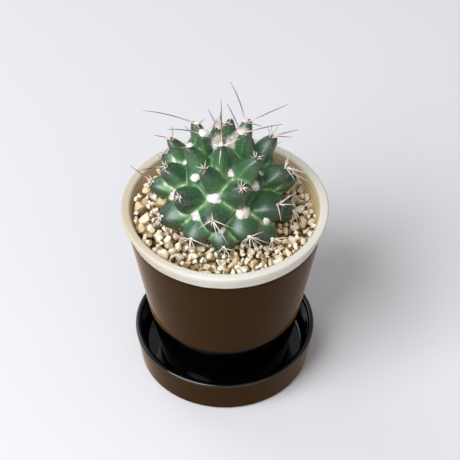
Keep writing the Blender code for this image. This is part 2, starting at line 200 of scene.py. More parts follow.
# Wool in the axil above a tubercle: degrees round and up from its tip, half width, half height and how aged it is
AXIL_WOOL = {
    (-131, 59): (-2, 18, 2.2, 1.8, 0.0),
    (-98, 68): (-2, 15, 3.0, 3.0, 0.0),
    (-145, 81): (-8, 11, 3.0, 2.8, 0.3),
    (-115, 85): (-2, 13, 3.6, 3.0, 0.0),
    (-69, 82): (1, 14, 3.2, 2.9, 0.35),
    (-39, 69): (-2, 19, 2.6, 1.8, 0.1),
    (-71, 47): (-2, 16, 1.8, 1.2, 0.1),
    (-48, 92): (-1, 14, 1.9, 1.4, 0.3),
    (-89, 89): (-2, 12, 2.1, 1.5, 0.2),
}

# The cushion on a tip, worn and brown on most: its half width, how aged it is and how long its hairs are
WORN_TIP, TIP_SHAPE, TIP_LIFT = (0.62, 1.0, 0.0), (1.0, 1.1, 0.6), 0.7
TIP_WOOL = {
    (-167, 15): (1.9, 0.1, 0.9),
    (-6, 15): (1.8, 0.15, 1.2),
    (109, 11): (1.5, 0.55, 1.5),
    (-93, 16): (1.25, 0.6, 0.0),
    (-156, 28): (1.3, 0.35, 0.6),
    (45, 26): (1.1, 0.35, 0.8),
    (143, 26): (1.0, 0.4, 0.6),
    (67, 12): (0.5, 0.8, 0.0),
}

# Wool between the youngest tubercles, as x, y, z, radius and how aged it is
CROWN_WOOL = (
    (-3.6, 4.0, 120.6, 1.7, 0.1),
    (-4.2, 6.0, 120.8, 1.6, 0.15),
    (-3.0, 7.4, 121.8, 1.4, 0.3),
    (1.6, 7.6, 119.6, 1.5, 0.3),
    (3.4, 8.4, 120.2, 1.5, 0.3),
    (5.0, 9.4, 120.4, 1.5, 0.3),
    (3.2, 6.0, 119.0, 1.5, 0.3),
    (-8.0, 9.6, 120.4, 1.7, 0.3),
    (4.6, 13.0, 119.6, 1.7, 0.4),
)
# The polar angle from which an axil has wool, and how long the hairs are in the axils and in the crown
AXILS_FROM, AXIL_HAIRS, CROWN_HAIRS = 40, 0.75, 1.55

# Spines: stretches along one, how deep its foot sits, the share of its girth lost at the point, and the length from
# which it is as thick as its setting says
STRETCHES, SEATED, TAPER, THICK_FROM = 8, 1.2, 0.74, 12.0

# Pour: places tried for a grain, grains that may find none, most coarse grains and most grains
TRIES, MISSES, MOST_COARSE, MOST_GRAINS = 26, 60, 1100, 1400
# The power that makes large grains rare, the share of the pot's middle kept bare and the height of the pour
RARITY, BARE, POUR_HEIGHT = 1.45, 0.12, 86.5
# Shares of a grain's radius: between two that touch, above what it rests on, from the wall, and up to its top
NEST, REST, BESIDE, CREST = 0.84, 0.7, 0.78, 0.6
# The grains stand higher round the plant and by the wall on the left: how much, and between which distances
HEAP, HEAP_FROM, HEAP_OVER = 2.2, 24.0, 10.0
BANK, BANK_FROM, BANK_TO = 4.8, 10.0, 34.0

# Lights in metres: name, place, height of what it points at, side, the setting with its power, and its colour
LIGHTS = (
    ("key light", (-0.78, -0.72, 1.22), 0.09, 1.1, "key_power", "#F4F7FF"),
    ("back light", (-0.85, 0.95, 0.95), 0.09, 0.9, "back_power", "#F2F6FF"),
    ("fill", (0.5, -1.1, 0.9), 0.07, 1.2, "fill_power", "#FFF3E2"),
)
# Camera: what it points at and its distance in metres, the angle it looks down at, its roll, lens and sensor
CAMERA_TARGET, CAMERA_REACH = (0.0022, 0.0, 0.0748), 0.872
CAMERA_TILT, CAMERA_ROLL, CAMERA_LENS, CAMERA_SENSOR = 44.65, 0.3, 156.5, 36.0
# Half the floor's side and how far it lies below the saucer, in metres
FLOOR_HALF, FLOOR_DROP = 3.0, 0.00005


# User settings


def linear(code):
    """A colour written as sRGB hex, as linear red, green and blue."""
    found = []
    for start in (1, 3, 5):
        share = int(code[start : start + 2], 16) / 255
        found.append(share / 12.92 if share <= 0.04045 else ((share + 0.055) / 1.055) ** 2.4)
    return tuple(found)


def length(name, millimetres, description):
    return bpy.props.FloatProperty(
        name=name, description=description, default=millimetres * MM, min=0.0, precision=5, unit="LENGTH"
    )


def amount(name, default, description, unit="NONE"):
    return bpy.props.FloatProperty(name=name, description=description, default=default, unit=unit)


def number(name, default, description):
    return bpy.props.IntProperty(name=name, description=description, default=default, min=0)


def colour(name, code, description):
    return bpy.props.FloatVectorProperty(
        name=name, description=description, default=linear(code), min=0.0, max=1.0, size=3, subtype="COLOR"
    )


class PotSettings(bpy.types.PropertyGroup):
    steps: number("Steps Around", 192, "Faces around the pot and the saucer")
    rim_radius: length("Rim Radius", 45.0, "Outer radius of the pot's rim")
    lip_inner: length("Lip Inner Radius", 41.0, "Radius where the lip turns into the pot")
    glaze_top: length("Glaze Top", 82.4, "Height at which the black glaze ends")
    glaze_radius: length("Glaze Radius", 42.7, "Radius of the wall where the glaze ends")
    glaze_skin: length("Glaze Thickness", 0.25, "How far the glaze stands on the clay")
    # Below this height the wall keeps the glaze's own black, and above it the warm brown is painted reflection
    warm_reflection_edge: length("Pooled Glaze Top", 33.5, "Height on the wall below which the glaze has pooled black")
    saucer_height: length("Saucer Height", 17.6, "Height of the saucer's rim")
    saucer_radius: length("Saucer Radius", 40.7, "Outer radius of the saucer's rim")
    clay: colour("Bare Clay", "#D3CFC3", "Unglazed body on the rim")
    # Partly the water stain and partly painted light: the inner wall's tan is painted lighter to make up for the
    # shade it lies in
    clay_inside: colour("Clay Inside", "#E2CA9C", "Unglazed body inside, stained by water")
    # Painted reflection: the glaze is black, and this warm brown on the pot's and saucer's walls stands in for warm
    # surroundings reflected in it
    glaze: colour("Glaze", "#2F1E0B", "Black glaze on a wall, thin enough to show a warm tone")
    glaze_deep: colour("Pooled Glaze", "#020202", "Glaze pooled black in the saucer and on the pot's foot")
    glaze_thin: colour("Thin Glaze", "#2A180C", "Glaze where it runs thin over an edge")


class GravelSettings(bpy.types.PropertyGroup):
    smallest: length("Smallest Grain", 1.5, "Radius of the smallest grain")
    fines: length("Finest Grain", 1.35, "Radius of the finest grain, which fills the gaps")
    largest: length("Largest Grain", 4.0, "Radius of the largest grain")
    surface: length("Surface", 84.2, "Height that the poured grains reach")
    shapes: number("Grain Shapes", 10, "Different broken shapes that the grains repeat")
    seed: number("Seed", 7, "Changes how the gravel lies")
    cream: colour("Cream Grain", "#FFF6E0", "Palest grains")
    sand: colour("Sand Grain", "#F1DEB8", "Most grains")
    ochre: colour("Ochre Grain", "#D8C096", "Iron stained grains")
    grey: colour("Grey Grain", "#CFC0A0", "A few grey grains")


class PlantSettings(bpy.types.PropertyGroup):
    crown_width: length("Crown Tubercle Width", 3.4, "Half width of a tubercle in the crown")
    full_width: length("Tubercle Width", 8.1, "Half width of a full grown tubercle")
    crown_depth: length("Crown Tubercle Depth", 3.8, "Half depth of a tubercle in the crown")
    full_depth: length("Tubercle Depth", 6.2, "Half depth of a full grown tubercle")
    brow: amount("Brow", 0.7, "How much deeper a grown tubercle is above its axis")
    chin: amount("Chin", 0.25, "How much shallower it is below its axis")
    detail: length("Detail", 0.47, "Side of the cells that the skin is joined in")
    skin_dark: colour("Dark Skin", "#23442A", "Skin on the faces of a tubercle")
    skin: colour("Skin", "#37673B", "Skin towards a tubercle's foot")
    skin_young: colour("Young Skin", "#7C9E68", "Skin next to the axils")
    skin_seam: colour("Seam", "#CFD8B8", "Pale yellow green line between two tubercles")
    skin_tip: colour("Skin at the Tip", "#1E2F20", "Dark grey green skin round an areole")


class SpineSettings(bpy.types.PropertyGroup):
    thickness: length("Thickness", 0.25, "Radius of a long spine at its foot")
    spread: length("Spread", 0.7, "How far from the areole's middle a spine starts")
    seed: number("Seed", 5, "Changes the short spines that no row lists")
    foot: colour("Spine Foot", "#FCF3E4", "Spine near the areole")
    shaft: colour("Spine Shaft", "#CDB29D", "Long spine along its length")
    tip: colour("Spine Tip", "#2B272B", "Dark end of a long spine")


class WoolSettings(bpy.types.PropertyGroup):
    fibre_length: length("Fibre Length", 1.6, "Length of a wool fibre")
    fibre_radius: length("Fibre Radius", 0.038, "Radius of a wool fibre at its foot")
    per_square_mm: number("Fibres", 8, "Fibres on a square millimetre of wool")
    seed: number("Seed", 3, "Changes how the fibres lie")
    white: colour("White Wool", "#E9E6DD", "Fresh wool in the axils")
    aged: colour("Aged Wool", "#E6DCCD", "Older wool in the crown")
    worn: colour("Worn Areole", "#A58B7A", "Felt left on the areole of a grown tubercle")


class StageSettings(bpy.types.PropertyGroup):
    key_power: amount("Key Light", 34.0, "Power of the large light on the left", "POWER")
    fill_power: amount("Fill Light", 3.0, "Power of the fill light", "POWER")
    back_power: amount("Back Light", 5.5, "Power of the light from behind", "POWER")
    sky: amount("Even Light", 0.39, "Strength of the even light from all sides")
    floor: colour("Floor", "#D9D7D6", "Plain pale floor")
    sky_tone: colour("Even Light Colour", "#E9ECF2", "Colour of the even light from all sides")


# Meshes


def clamp(value, low=0.0, high=1.0):
    return min(high, max(low, value))


def smooth_step(values, low, high):
    share = np.clip((values - low) / (high - low), 0.0, 1.0)
    return share * share * (3 - 2 * share)


def circle(step, steps):
    """Cosine and sine of one of the steps around."""
    angle = 2 * math.pi * step / steps
    return math.cos(angle), math.sin(angle)


def new_object(name, data):
    made = bpy.data.objects.new(name, data)
    bpy.context.scene.collection.objects.link(made)
    return made


def mesh_of(name, points, faces, edges=()):
    """A mesh from points in millimetres, stored in metres."""
    mesh = bpy.data.meshes.new(name)
    mesh.from_pydata([tuple(value * MM for value in point) for point in points], list(edges), faces)
    mesh.validate()
    return mesh


def shape_to_mesh(name, shape):
    mesh = bpy.data.meshes.new(name)
    shape.to_mesh(mesh)
    shape.free()
    return mesh


def points_of(mesh):
    found = np.empty(len(mesh.vertices) * 3)
    mesh.vertices.foreach_get("co", found)
    return found.reshape(-1, 3) / MM


def set_attributes(mesh, **fields):
    """Gives each point a vector, a whole number or a number, by the shape and kind of the values."""
    for name, values in fields.items():
        values = np.asarray(values)
        kind = "FLOAT_VECTOR" if values.ndim == 2 else "INT" if values.dtype.kind == "i" else "FLOAT"
        data = mesh.attributes.new(name, kind, "POINT").data
        data.foreach_set("vector" if values.ndim == 2 else "value", values.ravel())


def rounded(corners, steps):
    """A closed outline with each corner (radius, height, fillet) turned into an arc."""
    points = []
    for index, (r, z, fillet) in enumerate(corners):
        here = Vector((r, z))
        before = Vector(corners[index - 1][:2]) - here
        after = Vector(corners[(index + 1) % len(corners)][:2]) - here
        if fillet <= 0.0:
            points.append((r, z))
            continue
        half = before.angle(after) / 2
        back = min(fillet / math.tan(half), 0.49 * before.length, 0.49 * after.length)
        start, end = here + before.normalized() * back, here + after.normalized() * back
        for step in range(steps + 1):
            t = step / steps
            points.append(tuple(start * (1 - t) ** 2 + here * (2 * t * (1 - t)) + end * t**2))
    return points


def filled(outline, longest):
    """The closed outline with points added so that no stretch is longer than this."""
    points = []
    for index, point in enumerate(outline):
        after = outline[(index + 1) % len(outline)]
        on_axis = point[0] == after[0] == 0.0
        pieces = 1 if on_axis else math.ceil(math.dist(point, after) / longest)
        for piece in range(pieces):
            share = piece / pieces
            points.append((point[0] + (after[0] - point[0]) * share, point[1] + (after[1] - point[1]) * share))
    return points


def turned(name, outline, steps, centre=(0.0, 0.0)):
    """Turns an outline of (radius, height) points about a vertical axis. Points on the axis become poles."""
    points, rings, faces = [], [], []
    for radius, height in outline:
        count = 1 if radius < 1e-6 else steps
        rings.append([len(points) + step for step in range(count)])
        for step in range(count):
            cos_a, sin_a = circle(step, steps)
            points.append((centre[0] + radius * cos_a, centre[1] + radius * sin_a, height))
    for lower, upper in zip(rings, rings[1:] + rings[:1]):
        if len(lower) == len(upper) == 1:
            continue
        for step in range(steps):
            after = (step + 1) % steps
            corners = [lower[step % len(lower)], lower[after % len(lower)]]
            corners += [upper[after % len(upper)], upper[step % len(upper)]]
            faces.append(list(dict.fromkeys(corners)))
    mesh = mesh_of(name, points, faces)
    face_outwards(mesh)
    return mesh


def turned_piece(name, corners, arc, longest, steps):
    return new_object(name, turned(name, filled(rounded(corners, arc), longest), steps))


def face_outwards(mesh):
    shape = bmesh.new()
    shape.from_mesh(mesh)
    bmesh.ops.recalc_face_normals(shape, faces=shape.faces)
    shape.to_mesh(mesh)
    shape.free()


def smooth_sides(mesh):
    mesh.shade_smooth()
    mesh.set_sharp_from_angle(angle=math.radians(SHARP_ANGLE))


def second_finish(mesh, finish, where):
    """Gives the faces whose corners are all marked a second material."""
    mesh.materials.append(finish)
    for face in mesh.polygons:
        face.material_index = int(all(where[corner] for corner in face.vertices))


def plain(made):
    """The object with its modifiers worked in and removed."""
    graph = bpy.context.evaluated_depsgraph_get()
    mesh = bpy.data.meshes.new_from_object(made.evaluated_get(graph))
    mesh.name = made.name
    old = made.data
    made.modifiers.clear()
    made.data = mesh
    if old.users == 0:
        bpy.data.meshes.remove(old)
    return made


def settle(made, finish, slot, *nodes):
    """Gives a finished piece its material and its body, and hides the nodes that it stands for. Its slot is not used.
    """
    if finish:
        made.data.materials.clear()
        made.data.materials.append(finish)
    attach(made, "root")
    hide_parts(*nodes)


# Nodes

MIX = {"data_type": "RGBA"}
DARKEN = {"data_type": "RGBA", "blend_type": "MULTIPLY"}
TIMES = {"operation": "MULTIPLY"}


def rgba(shade):
    """An sRGB hex value or three linear values, as a colour for a socket."""
    return (*(linear(shade) if isinstance(shade, str) else shade), 1.0)


def feed(tree, socket, value):
    """Links a socket to an output or to a list of them, or sets its value."""
    if isinstance(value, (bpy.types.NodeSocket, list)):
        for source in value if isinstance(value, list) else [value]:
            tree.links.new(source, socket)
    else:
        socket.default_value = rgba(value) if socket.type == "RGBA" else value


def add_node(tree, kind, *values, **inputs):
    """Adds a node, a shader's if its kind has no prefix, and gives its outputs. A dict in front holds its settings,
    where stops are a colour ramp's positions and colours in rising order. The other values go to the sockets in
    order, and an input whose name is inK is the socket at that index."""
    node = tree.nodes.new(kind if "Node" in kind else "ShaderNode" + kind)
    settings = values[0] if values and isinstance(values[0], dict) else {}
    inputs.update((f"in{index}", value) for index, value in enumerate(values[1:] if settings else values))
    for name, value in settings.items():
        if name != "stops":
            setattr(node, name, value)
            continue
        elements = node.color_ramp.elements
        for element, (position, shade) in zip(elements, (value[0], value[-1])):
            element.position, element.color = position, rgba(shade)
        for position, shade in value[1:-1]:
            elements.new(position).color = rgba(shade)
    for name, value in inputs.items():
        key = int(name[2:]) if name[:2] == "in" and name[2:].isdigit() else name.replace("_", " ")
        feed(tree, node.inputs[key], value)
    return node.outputs


def new_tree(name, **inputs):
    """A geometry tree that takes a mesh, the named inputs, each as a socket type and a default, and a material."""
    tree = bpy.data.node_groups.new(name, "GeometryNodeTree")
    rows = {"Geometry": ("Geometry", None), **inputs, "Material": ("Material", None)}
    for label, (kind, default) in rows.items():
        socket = tree.interface.new_socket(name=label, in_out="INPUT", socket_type="NodeSocket" + kind)
        if default is not None:
            socket.default_value = default
    tree.interface.new_socket(name="Geometry", in_out="OUTPUT", socket_type="NodeSocketGeometry")
    return tree, partial(add_node, tree), tree.nodes.new("NodeGroupInput").outputs


def end_tree(add, geometry, material):
    real = add("GeometryNodeRealizeInstances", Geometry=geometry)
    painted = add("GeometryNodeSetMaterial", Geometry=real[0], Material=material)
    add("NodeGroupOutput", Geometry=painted[0])


def run_tree(made, tree, **values):
    """Works the tree into the object, with its inputs set before it is first evaluated."""
    modifier = made.modifiers.new(tree.name, "NODES")
    modifier.node_group = tree
    for item in tree.interface.items_tree:
        if item.in_out == "INPUT" and item.name in values:
            modifier[item.identifier] = values[item.name]
    plain(made)


# Materials


def dress(made, **values):
    """Sets or links sockets of the material's Principled shader."""
    shader = made.node_tree.nodes["Principled BSDF"]
    for key, value in values.items():
        feed(made.node_tree, shader.inputs[key.replace("_", " ")], value)
    return made


def new_finish(name, **values):
    """A material with the shader's plain values, the function that adds its nodes and its Object coordinates."""
    made = bpy.data.materials.new(name)
    made.use_nodes = True
    add = partial(add_node, made.node_tree)
    return dress(made, **values), add, add("TexCoord")["Object"]


def scale_of(millimetres):
    """The scale of a pattern whose cells are this wide, as a whole number of them in a metre."""
    return float(round(1 / (millimetres * MM)))


def specks(add, place, width, edge, strength, above, under, over):
    """Dots of one colour on another, in the middles of those cells whose own random number is above this one."""
    cells = add("TexVoronoi", Vector=place, Scale=scale_of(width))
    dot = add("MapRange", cells["Distance"], edge[0], edge[1], strength, 0.0)
    kept = add("SeparateColor", Color=cells["Color"])
    chosen = add("Math", {"operation": "GREATER_THAN"}, kept[0], above)
    speck = add("Math", TIMES, dot[0], chosen[0])
    return add("Mix", MIX, speck[0], in6=under, in7=over)[2]


def bare_clay(s):
    """Bisque stoneware, turned and left unglazed: matt, cream, with fine grog and a water stain inside. The inside's
    tan is painted lighter as painted light, and the clay darkens towards the left as painted shade.
    """
    made, add, place = new_finish("bisque stoneware turned unglazed", IOR=1.5, Specular_IOR_Level=0.35)
    grog = add("TexNoise", Vector=place, Scale=scale_of(1.111), Detail=4.0, Roughness=0.65)
    cloud = add("TexNoise", Vector=place, Scale=scale_of(18.2), Detail=3.0)
    inside = add("Attribute", {"attribute_name": "inside"})["Fac"]
    # The water stain inside, its tan painted lighter as painted light for the shaded inner wall
    stain = add("Mix", MIX, inside, in6=s.clay, in7=s.clay_inside)
    # Marks of the turning 2.24 mm apart, which show where water has stained them. A wave repeats each tenth of pi.
    across = scale_of(2.24 / (math.pi / 10))
    rings = add("TexWave", {"bands_direction": "Z"}, Vector=place, Scale=across, Distortion=2.5, Detail=2.0)
    ridge = add("Math", TIMES, rings[1], inside)
    faint = add("Math", TIMES, ridge[0], 0.4)
    ringed = add("Mix", DARKEN, faint[0], in6=stain[2], in7="#BFA67C")
    warm = add("MapRange", cloud[0], 0.4, 0.75, 0.0, 0.22)
    cloudy = add("Mix", MIX, warm[0], in6=ringed[2], in7="#D9C7A4")
    axes = add("SeparateXYZ", Vector=place)
    # Painted shade: the clay darkens and browns towards the left side
    left = add("MapRange", axes[0], -10 * MM, -45 * MM, 0.0, 0.75)
    painted_shade_left = add("Mix", MIX, left[0], in6=cloudy[2], in7="#B7A283")
    speckled = specks(add, place, 2.38, (0.05, 0.12), 0.45, 0.72, painted_shade_left[2], "#9A7B55")
    rough = add("MapRange", grog[0], in3=0.62, in4=0.85)
    bump = add("Bump", Strength=0.35, Distance=0.12 * MM, Height=grog[0])
    return dress(made, Base_Color=speckled, Roughness=rough[0], Normal=bump[0])


def black_glaze(s, state):
    """Black stoneware glaze, dipped and fired glossy: a hard mirror skin that breaks brown where it runs thin. In the
    dipped state its warm brown base, warm specular tint and brown sheen are painted reflection.
    """
    name = f"black stoneware glaze {state}"
    if name in bpy.data.materials:
        return bpy.data.materials[name]
    base, gloss, tint, sheen = GLAZES[state]
    made, add, place = new_finish(
        name, IOR=1.5, Specular_IOR_Level=gloss, Specular_Tint=tint, Sheen_Weight=sheen, Sheen_Roughness=0.3,
        Sheen_Tint=(0.68, 0.33, 0.1),
    )
    thin = add("Attribute", {"attribute_name": "thin"})["Fac"]
    cloud = add("TexNoise", Vector=place, Scale=scale_of(14.3), Detail=3.0)
    streaks = add("Math", TIMES, thin, cloud[0])
    worn = add("MapRange", streaks[0], 0.05, 0.6)
    broken = add("Mix", MIX, worn[0], in6=getattr(s, base), in7=s.glaze_thin)
    fine = add("TexNoise", Vector=place, Scale=scale_of(0.625), Detail=2.0)
    rough = add("MapRange", fine[0], in3=0.05, in4=0.13)
    peel = add("TexNoise", Vector=place, Scale=scale_of(4.17), Detail=1.0)
    bump = add("Bump", Strength=0.06, Distance=0.2 * MM, Height=peel[0])
    return dress(made, Base_Color=broken[2], Roughness=rough[0], Normal=bump[0])


def gravel_stone(s):
    """Crushed pumice and baked clay, sieved: dry porous grains from cream to ochre, each with its own tone."""
    made, add, place = new_finish("crushed pumice gravel sieved", IOR=1.5, Specular_IOR_Level=0.25, Roughness=0.9)
    tone = add("Attribute", {"attribute_name": "tone"})["Fac"]
    stops = ((0.0, s.cream), (0.4, s.cream), (0.78, s.sand), (0.95, s.ochre), (0.98, s.grey), (1.0, s.grey))
    ramp = add("ValToRGB", {"stops": stops}, Fac=tone)
    mottle = add("TexNoise", Vector=place, Scale=scale_of(1.613), Detail=5.0, Roughness=0.7)
    pores = add("TexVoronoi", Vector=place, Scale=scale_of(0.6667))["Distance"]
    stain = add("MapRange", mottle[0], 0.48, 0.75, 0.0, 0.6)
    stained = add("Mix", DARKEN, stain[0], in6=ramp[0], in7="#DDC299")
    hole = add("MapRange", pores, 0.08, 0.25, 0.4, 0.0)
    pitted = add("Mix", DARKEN, hole[0], in6=stained[2], in7="#B09B7A")
    rough = add("Bump", Strength=0.7, Distance=0.5 * MM, Height=mottle[0])
    pit = add("Bump", Strength=0.4, Distance=0.3 * MM, Height=pores, Normal=rough[0])
    return dress(made, Base_Color=pitted[2], Normal=pit[0])


def packed_stone(name, codes, cell, gap_shade):
    """Loose pieces packed in a layer, drawn on the layer's skin: cells of several tones with painted shade in the
    gaps between.
    """
    made, add, place = new_finish(name, IOR=1.5, Specular_IOR_Level=0.2, Roughness=0.92)
    scale = 1.0 / (cell * MM)
    cells = add("TexVoronoi", Vector=place, Scale=scale)
    edges = add("TexVoronoi", {"feature": "DISTANCE_TO_EDGE"}, Vector=place, Scale=scale)
    split = add("SeparateColor", Color=cells["Color"])
    stops = [(index / (len(codes) - 1), code) for index, code in enumerate(codes)]
    ramp = add("ValToRGB", {"stops": stops}, Fac=split[0])
    mottle = add("TexNoise", Vector=place, Scale=4.0 * scale, Detail=4.0)
    shade = add("MapRange", mottle[0], 0.3, 0.7, 0.0, 0.5)
    mottled = add("Mix", DARKEN, shade[0], in6=ramp[0], in7="#A88F6C")
    solid = add("MapRange", edges["Distance"], 0.02, 0.16)
    # Painted shade in the gaps between the pieces
    dark = add("Mix", MIX, solid[0], in6=gap_shade, in7=mottled[2])
    bump = add("Bump", Strength=0.9, Distance=cell * MM * 0.4, Height=solid[0])
    return dress(made, Base_Color=dark[2], Normal=bump[0])


def moulded_net():
    """Polypropylene, injection moulded: black, satin, with a faint mould grain and dust."""
    made, add, place = new_finish("polypropylene net moulded", IOR=1.49, Specular_IOR_Level=0.5)
    grain = add("TexNoise", Vector=place, Scale=scale_of(0.5556), Detail=3.0)
    dust = add("TexNoise", Vector=place, Scale=scale_of(6.25), Detail=4.0)
    soft = add("MapRange", dust[0], 0.45, 0.75, 0.0, 0.35)
    dusty = add("Mix", MIX, soft[0], in6="#1C1C1C", in7="#6E6456")
    rough = add("MapRange", grain[0], in3=0.38, in4=0.58)
    bump = add("Bump", Strength=0.2, Distance=0.1 * MM, Height=grain[0])
    return dress(made, Base_Color=dusty[2], Roughness=rough[0], Normal=bump[0])


def cactus_skin(s):
    """Living cactus skin, waxy and grown: dark blue green faces, yellow green in the axils, fine pale dots."""
    made, add, place = new_finish(
        "cactus skin waxy", IOR=1.5, Specular_IOR_Level=0.95, Specular_Tint=(0.95, 1.0, 0.94), Subsurface_Weight=0.06,
        Subsurface_Scale=2.0 * MM, Subsurface_Radius=(0.25, 0.9, 0.2),
    )
    border, vigour, tipward = (
        add("Attribute", {"attribute_name": name})["Fac"] for name in ("border", "vigour", "tipward")
    )
    cloud = add("TexNoise", Vector=place, Scale=scale_of(4.76), Detail=4.0, Roughness=0.6)
    wander = add("MapRange", cloud[0], 0.25, 0.75, -0.9, 0.9)
    away = add("Math", {"operation": "ADD"}, border, wander[0])
    band = add("MapRange", away[0], in2=7.0)
    stops = ((0.03, s.skin_seam), (0.14, s.skin_young), (0.36, s.skin), (0.86, s.skin_dark))
    ramp = add("ValToRGB", {"stops": stops}, Fac=band[0])
    older = add("Mix", MIX, vigour, in6="#467846", in7=ramp[0])
    capped = add("MapRange", tipward, in1=0.62, in4=0.8)
    capping = add("Mix", MIX, capped[0], in6=older[2], in7=s.skin_tip)
    speckled = specks(add, place, 1.111, (0.12, 0.26), 0.75, 0.5, capping[2], "#93AD97")
    rough = add("MapRange", cloud[0], in3=0.32, in4=0.5)
    fine = add("TexNoise", Vector=place, Scale=scale_of(0.909), Detail=2.0)
    bump = add("Bump", Strength=0.18, Distance=0.15 * MM, Height=fine[0])
    return dress(made, Base_Color=speckled, Roughness=rough[0], Normal=bump[0])


def spine_horn(s):
    """Cactus spine, a hard horny needle: cream at its foot, tan along it and grey brown towards the point."""
    made, add, place = new_finish("cactus spine horny", IOR=1.5, Specular_IOR_Level=0.45)
    along, dark = (add("Attribute", {"attribute_name": name})["Fac"] for name in ("along", "dark"))
    stops = ((0.02, s.foot), (0.2, s.shaft), (0.42, "#6A5A5B"), (0.75, s.tip))
    ramp = add("ValToRGB", {"stops": stops}, Fac=along)
    pale = add("ValToRGB", {"stops": ((0.1, s.foot), (1.0, "#D2BDA9"))}, Fac=along)
    chosen = add("Mix", MIX, dark, in6=pale[0], in7=ramp[0])
    fleck = add("TexNoise", Vector=place, Scale=scale_of(1.428), Detail=3.0)
    soft = add("MapRange", fleck[0], 0.4, 0.8, 0.0, 0.2)
    flecked = add("Mix", DARKEN, soft[0], in6=chosen[2], in7="#B08A70")
    rough = add("MapRange", fleck[0], in3=0.35, in4=0.55)
    return dress(made, Base_Color=flecked[2], Roughness=rough[0])


def plant_wool(s):
    """Cactus wool, a felt of fine grown hairs: white and dull, with aged hairs gone cream."""
    made, add, place = new_finish(
        "cactus wool grown", IOR=1.5, Specular_IOR_Level=0.1, Roughness=0.95, Sheen_Weight=0.25, Sheen_Roughness=0.5
    )
    aged = add("Attribute", {"attribute_name": "aged"})["Fac"]
    cloud = add("TexNoise", Vector=place, Scale=scale_of(1.111), Detail=3.0)
    shade = add("MapRange", cloud[0], 0.35, 0.75, -0.1, 0.2)
    old = add("Math", {"operation": "ADD", "use_clamp": True}, aged, shade[0])
    stops = ((0.0, s.white), (0.55, s.aged), (1.0, s.worn))
    tone = add("ValToRGB", {"stops": stops}, Fac=old[0])
    bump = add("Bump", Strength=0.5, Distance=0.3 * MM, Height=cloud[0])
    return dress(made, Base_Color=tone[0], Normal=bump[0])


def painted_floor(s):
    """Painted studio floor: pale, plain and matt."""
    made, add, place = new_finish("painted floor matt", Specular_IOR_Level=0.2, Roughness=0.85)
    cloud = add("TexNoise", Vector=place, Scale=scale_of(333.3), Detail=2.0)
    soft = add("MapRange", cloud[0], in4=0.06)
    mixed = add("Mix", MIX, soft[0], in6=s.floor, in7="#CDCBC8")
    return dress(made, Base_Color=mixed[2])


# Pot and saucer


def pot_inner_radius(height):
    """The straight inside wall of the pot, from its floor to just below the lip."""
    (low, floor), (high, neck) = WALL_LOW, WALL_HIGH
    return low + (high - low) * (height - floor) / (neck - floor)


def cut_notches(made):
    """Cuts the water ways through the foot ring."""
    cutters = []
    for index in range(NOTCHES):
        shape = bmesh.new()
        bmesh.ops.create_cube(shape, size=1.0)
        bmesh.ops.scale(shape, vec=[side * MM for side in NOTCH_SIDES], verts=shape.verts)
        bmesh.ops.translate(shape, vec=[place * MM for place in NOTCH_MIDDLE], verts=shape.verts)
        turn = Matrix.Rotation(2 * math.pi * (index + 0.25) / NOTCHES, 3, "Z")
        bmesh.ops.rotate(shape, cent=(0, 0, 0), matrix=turn, verts=shape.verts)
        cutter = new_object(f"notch_{index}", shape_to_mesh("notch", shape))
        modifier = made.modifiers.new(cutter.name, "BOOLEAN")
        modifier.operation = "DIFFERENCE"
        modifier.solver = "EXACT"
        modifier.object = cutter
        cutters.append(cutter)
    plain(made)
    for cutter in cutters:
        bpy.data.meshes.remove(cutter.data)


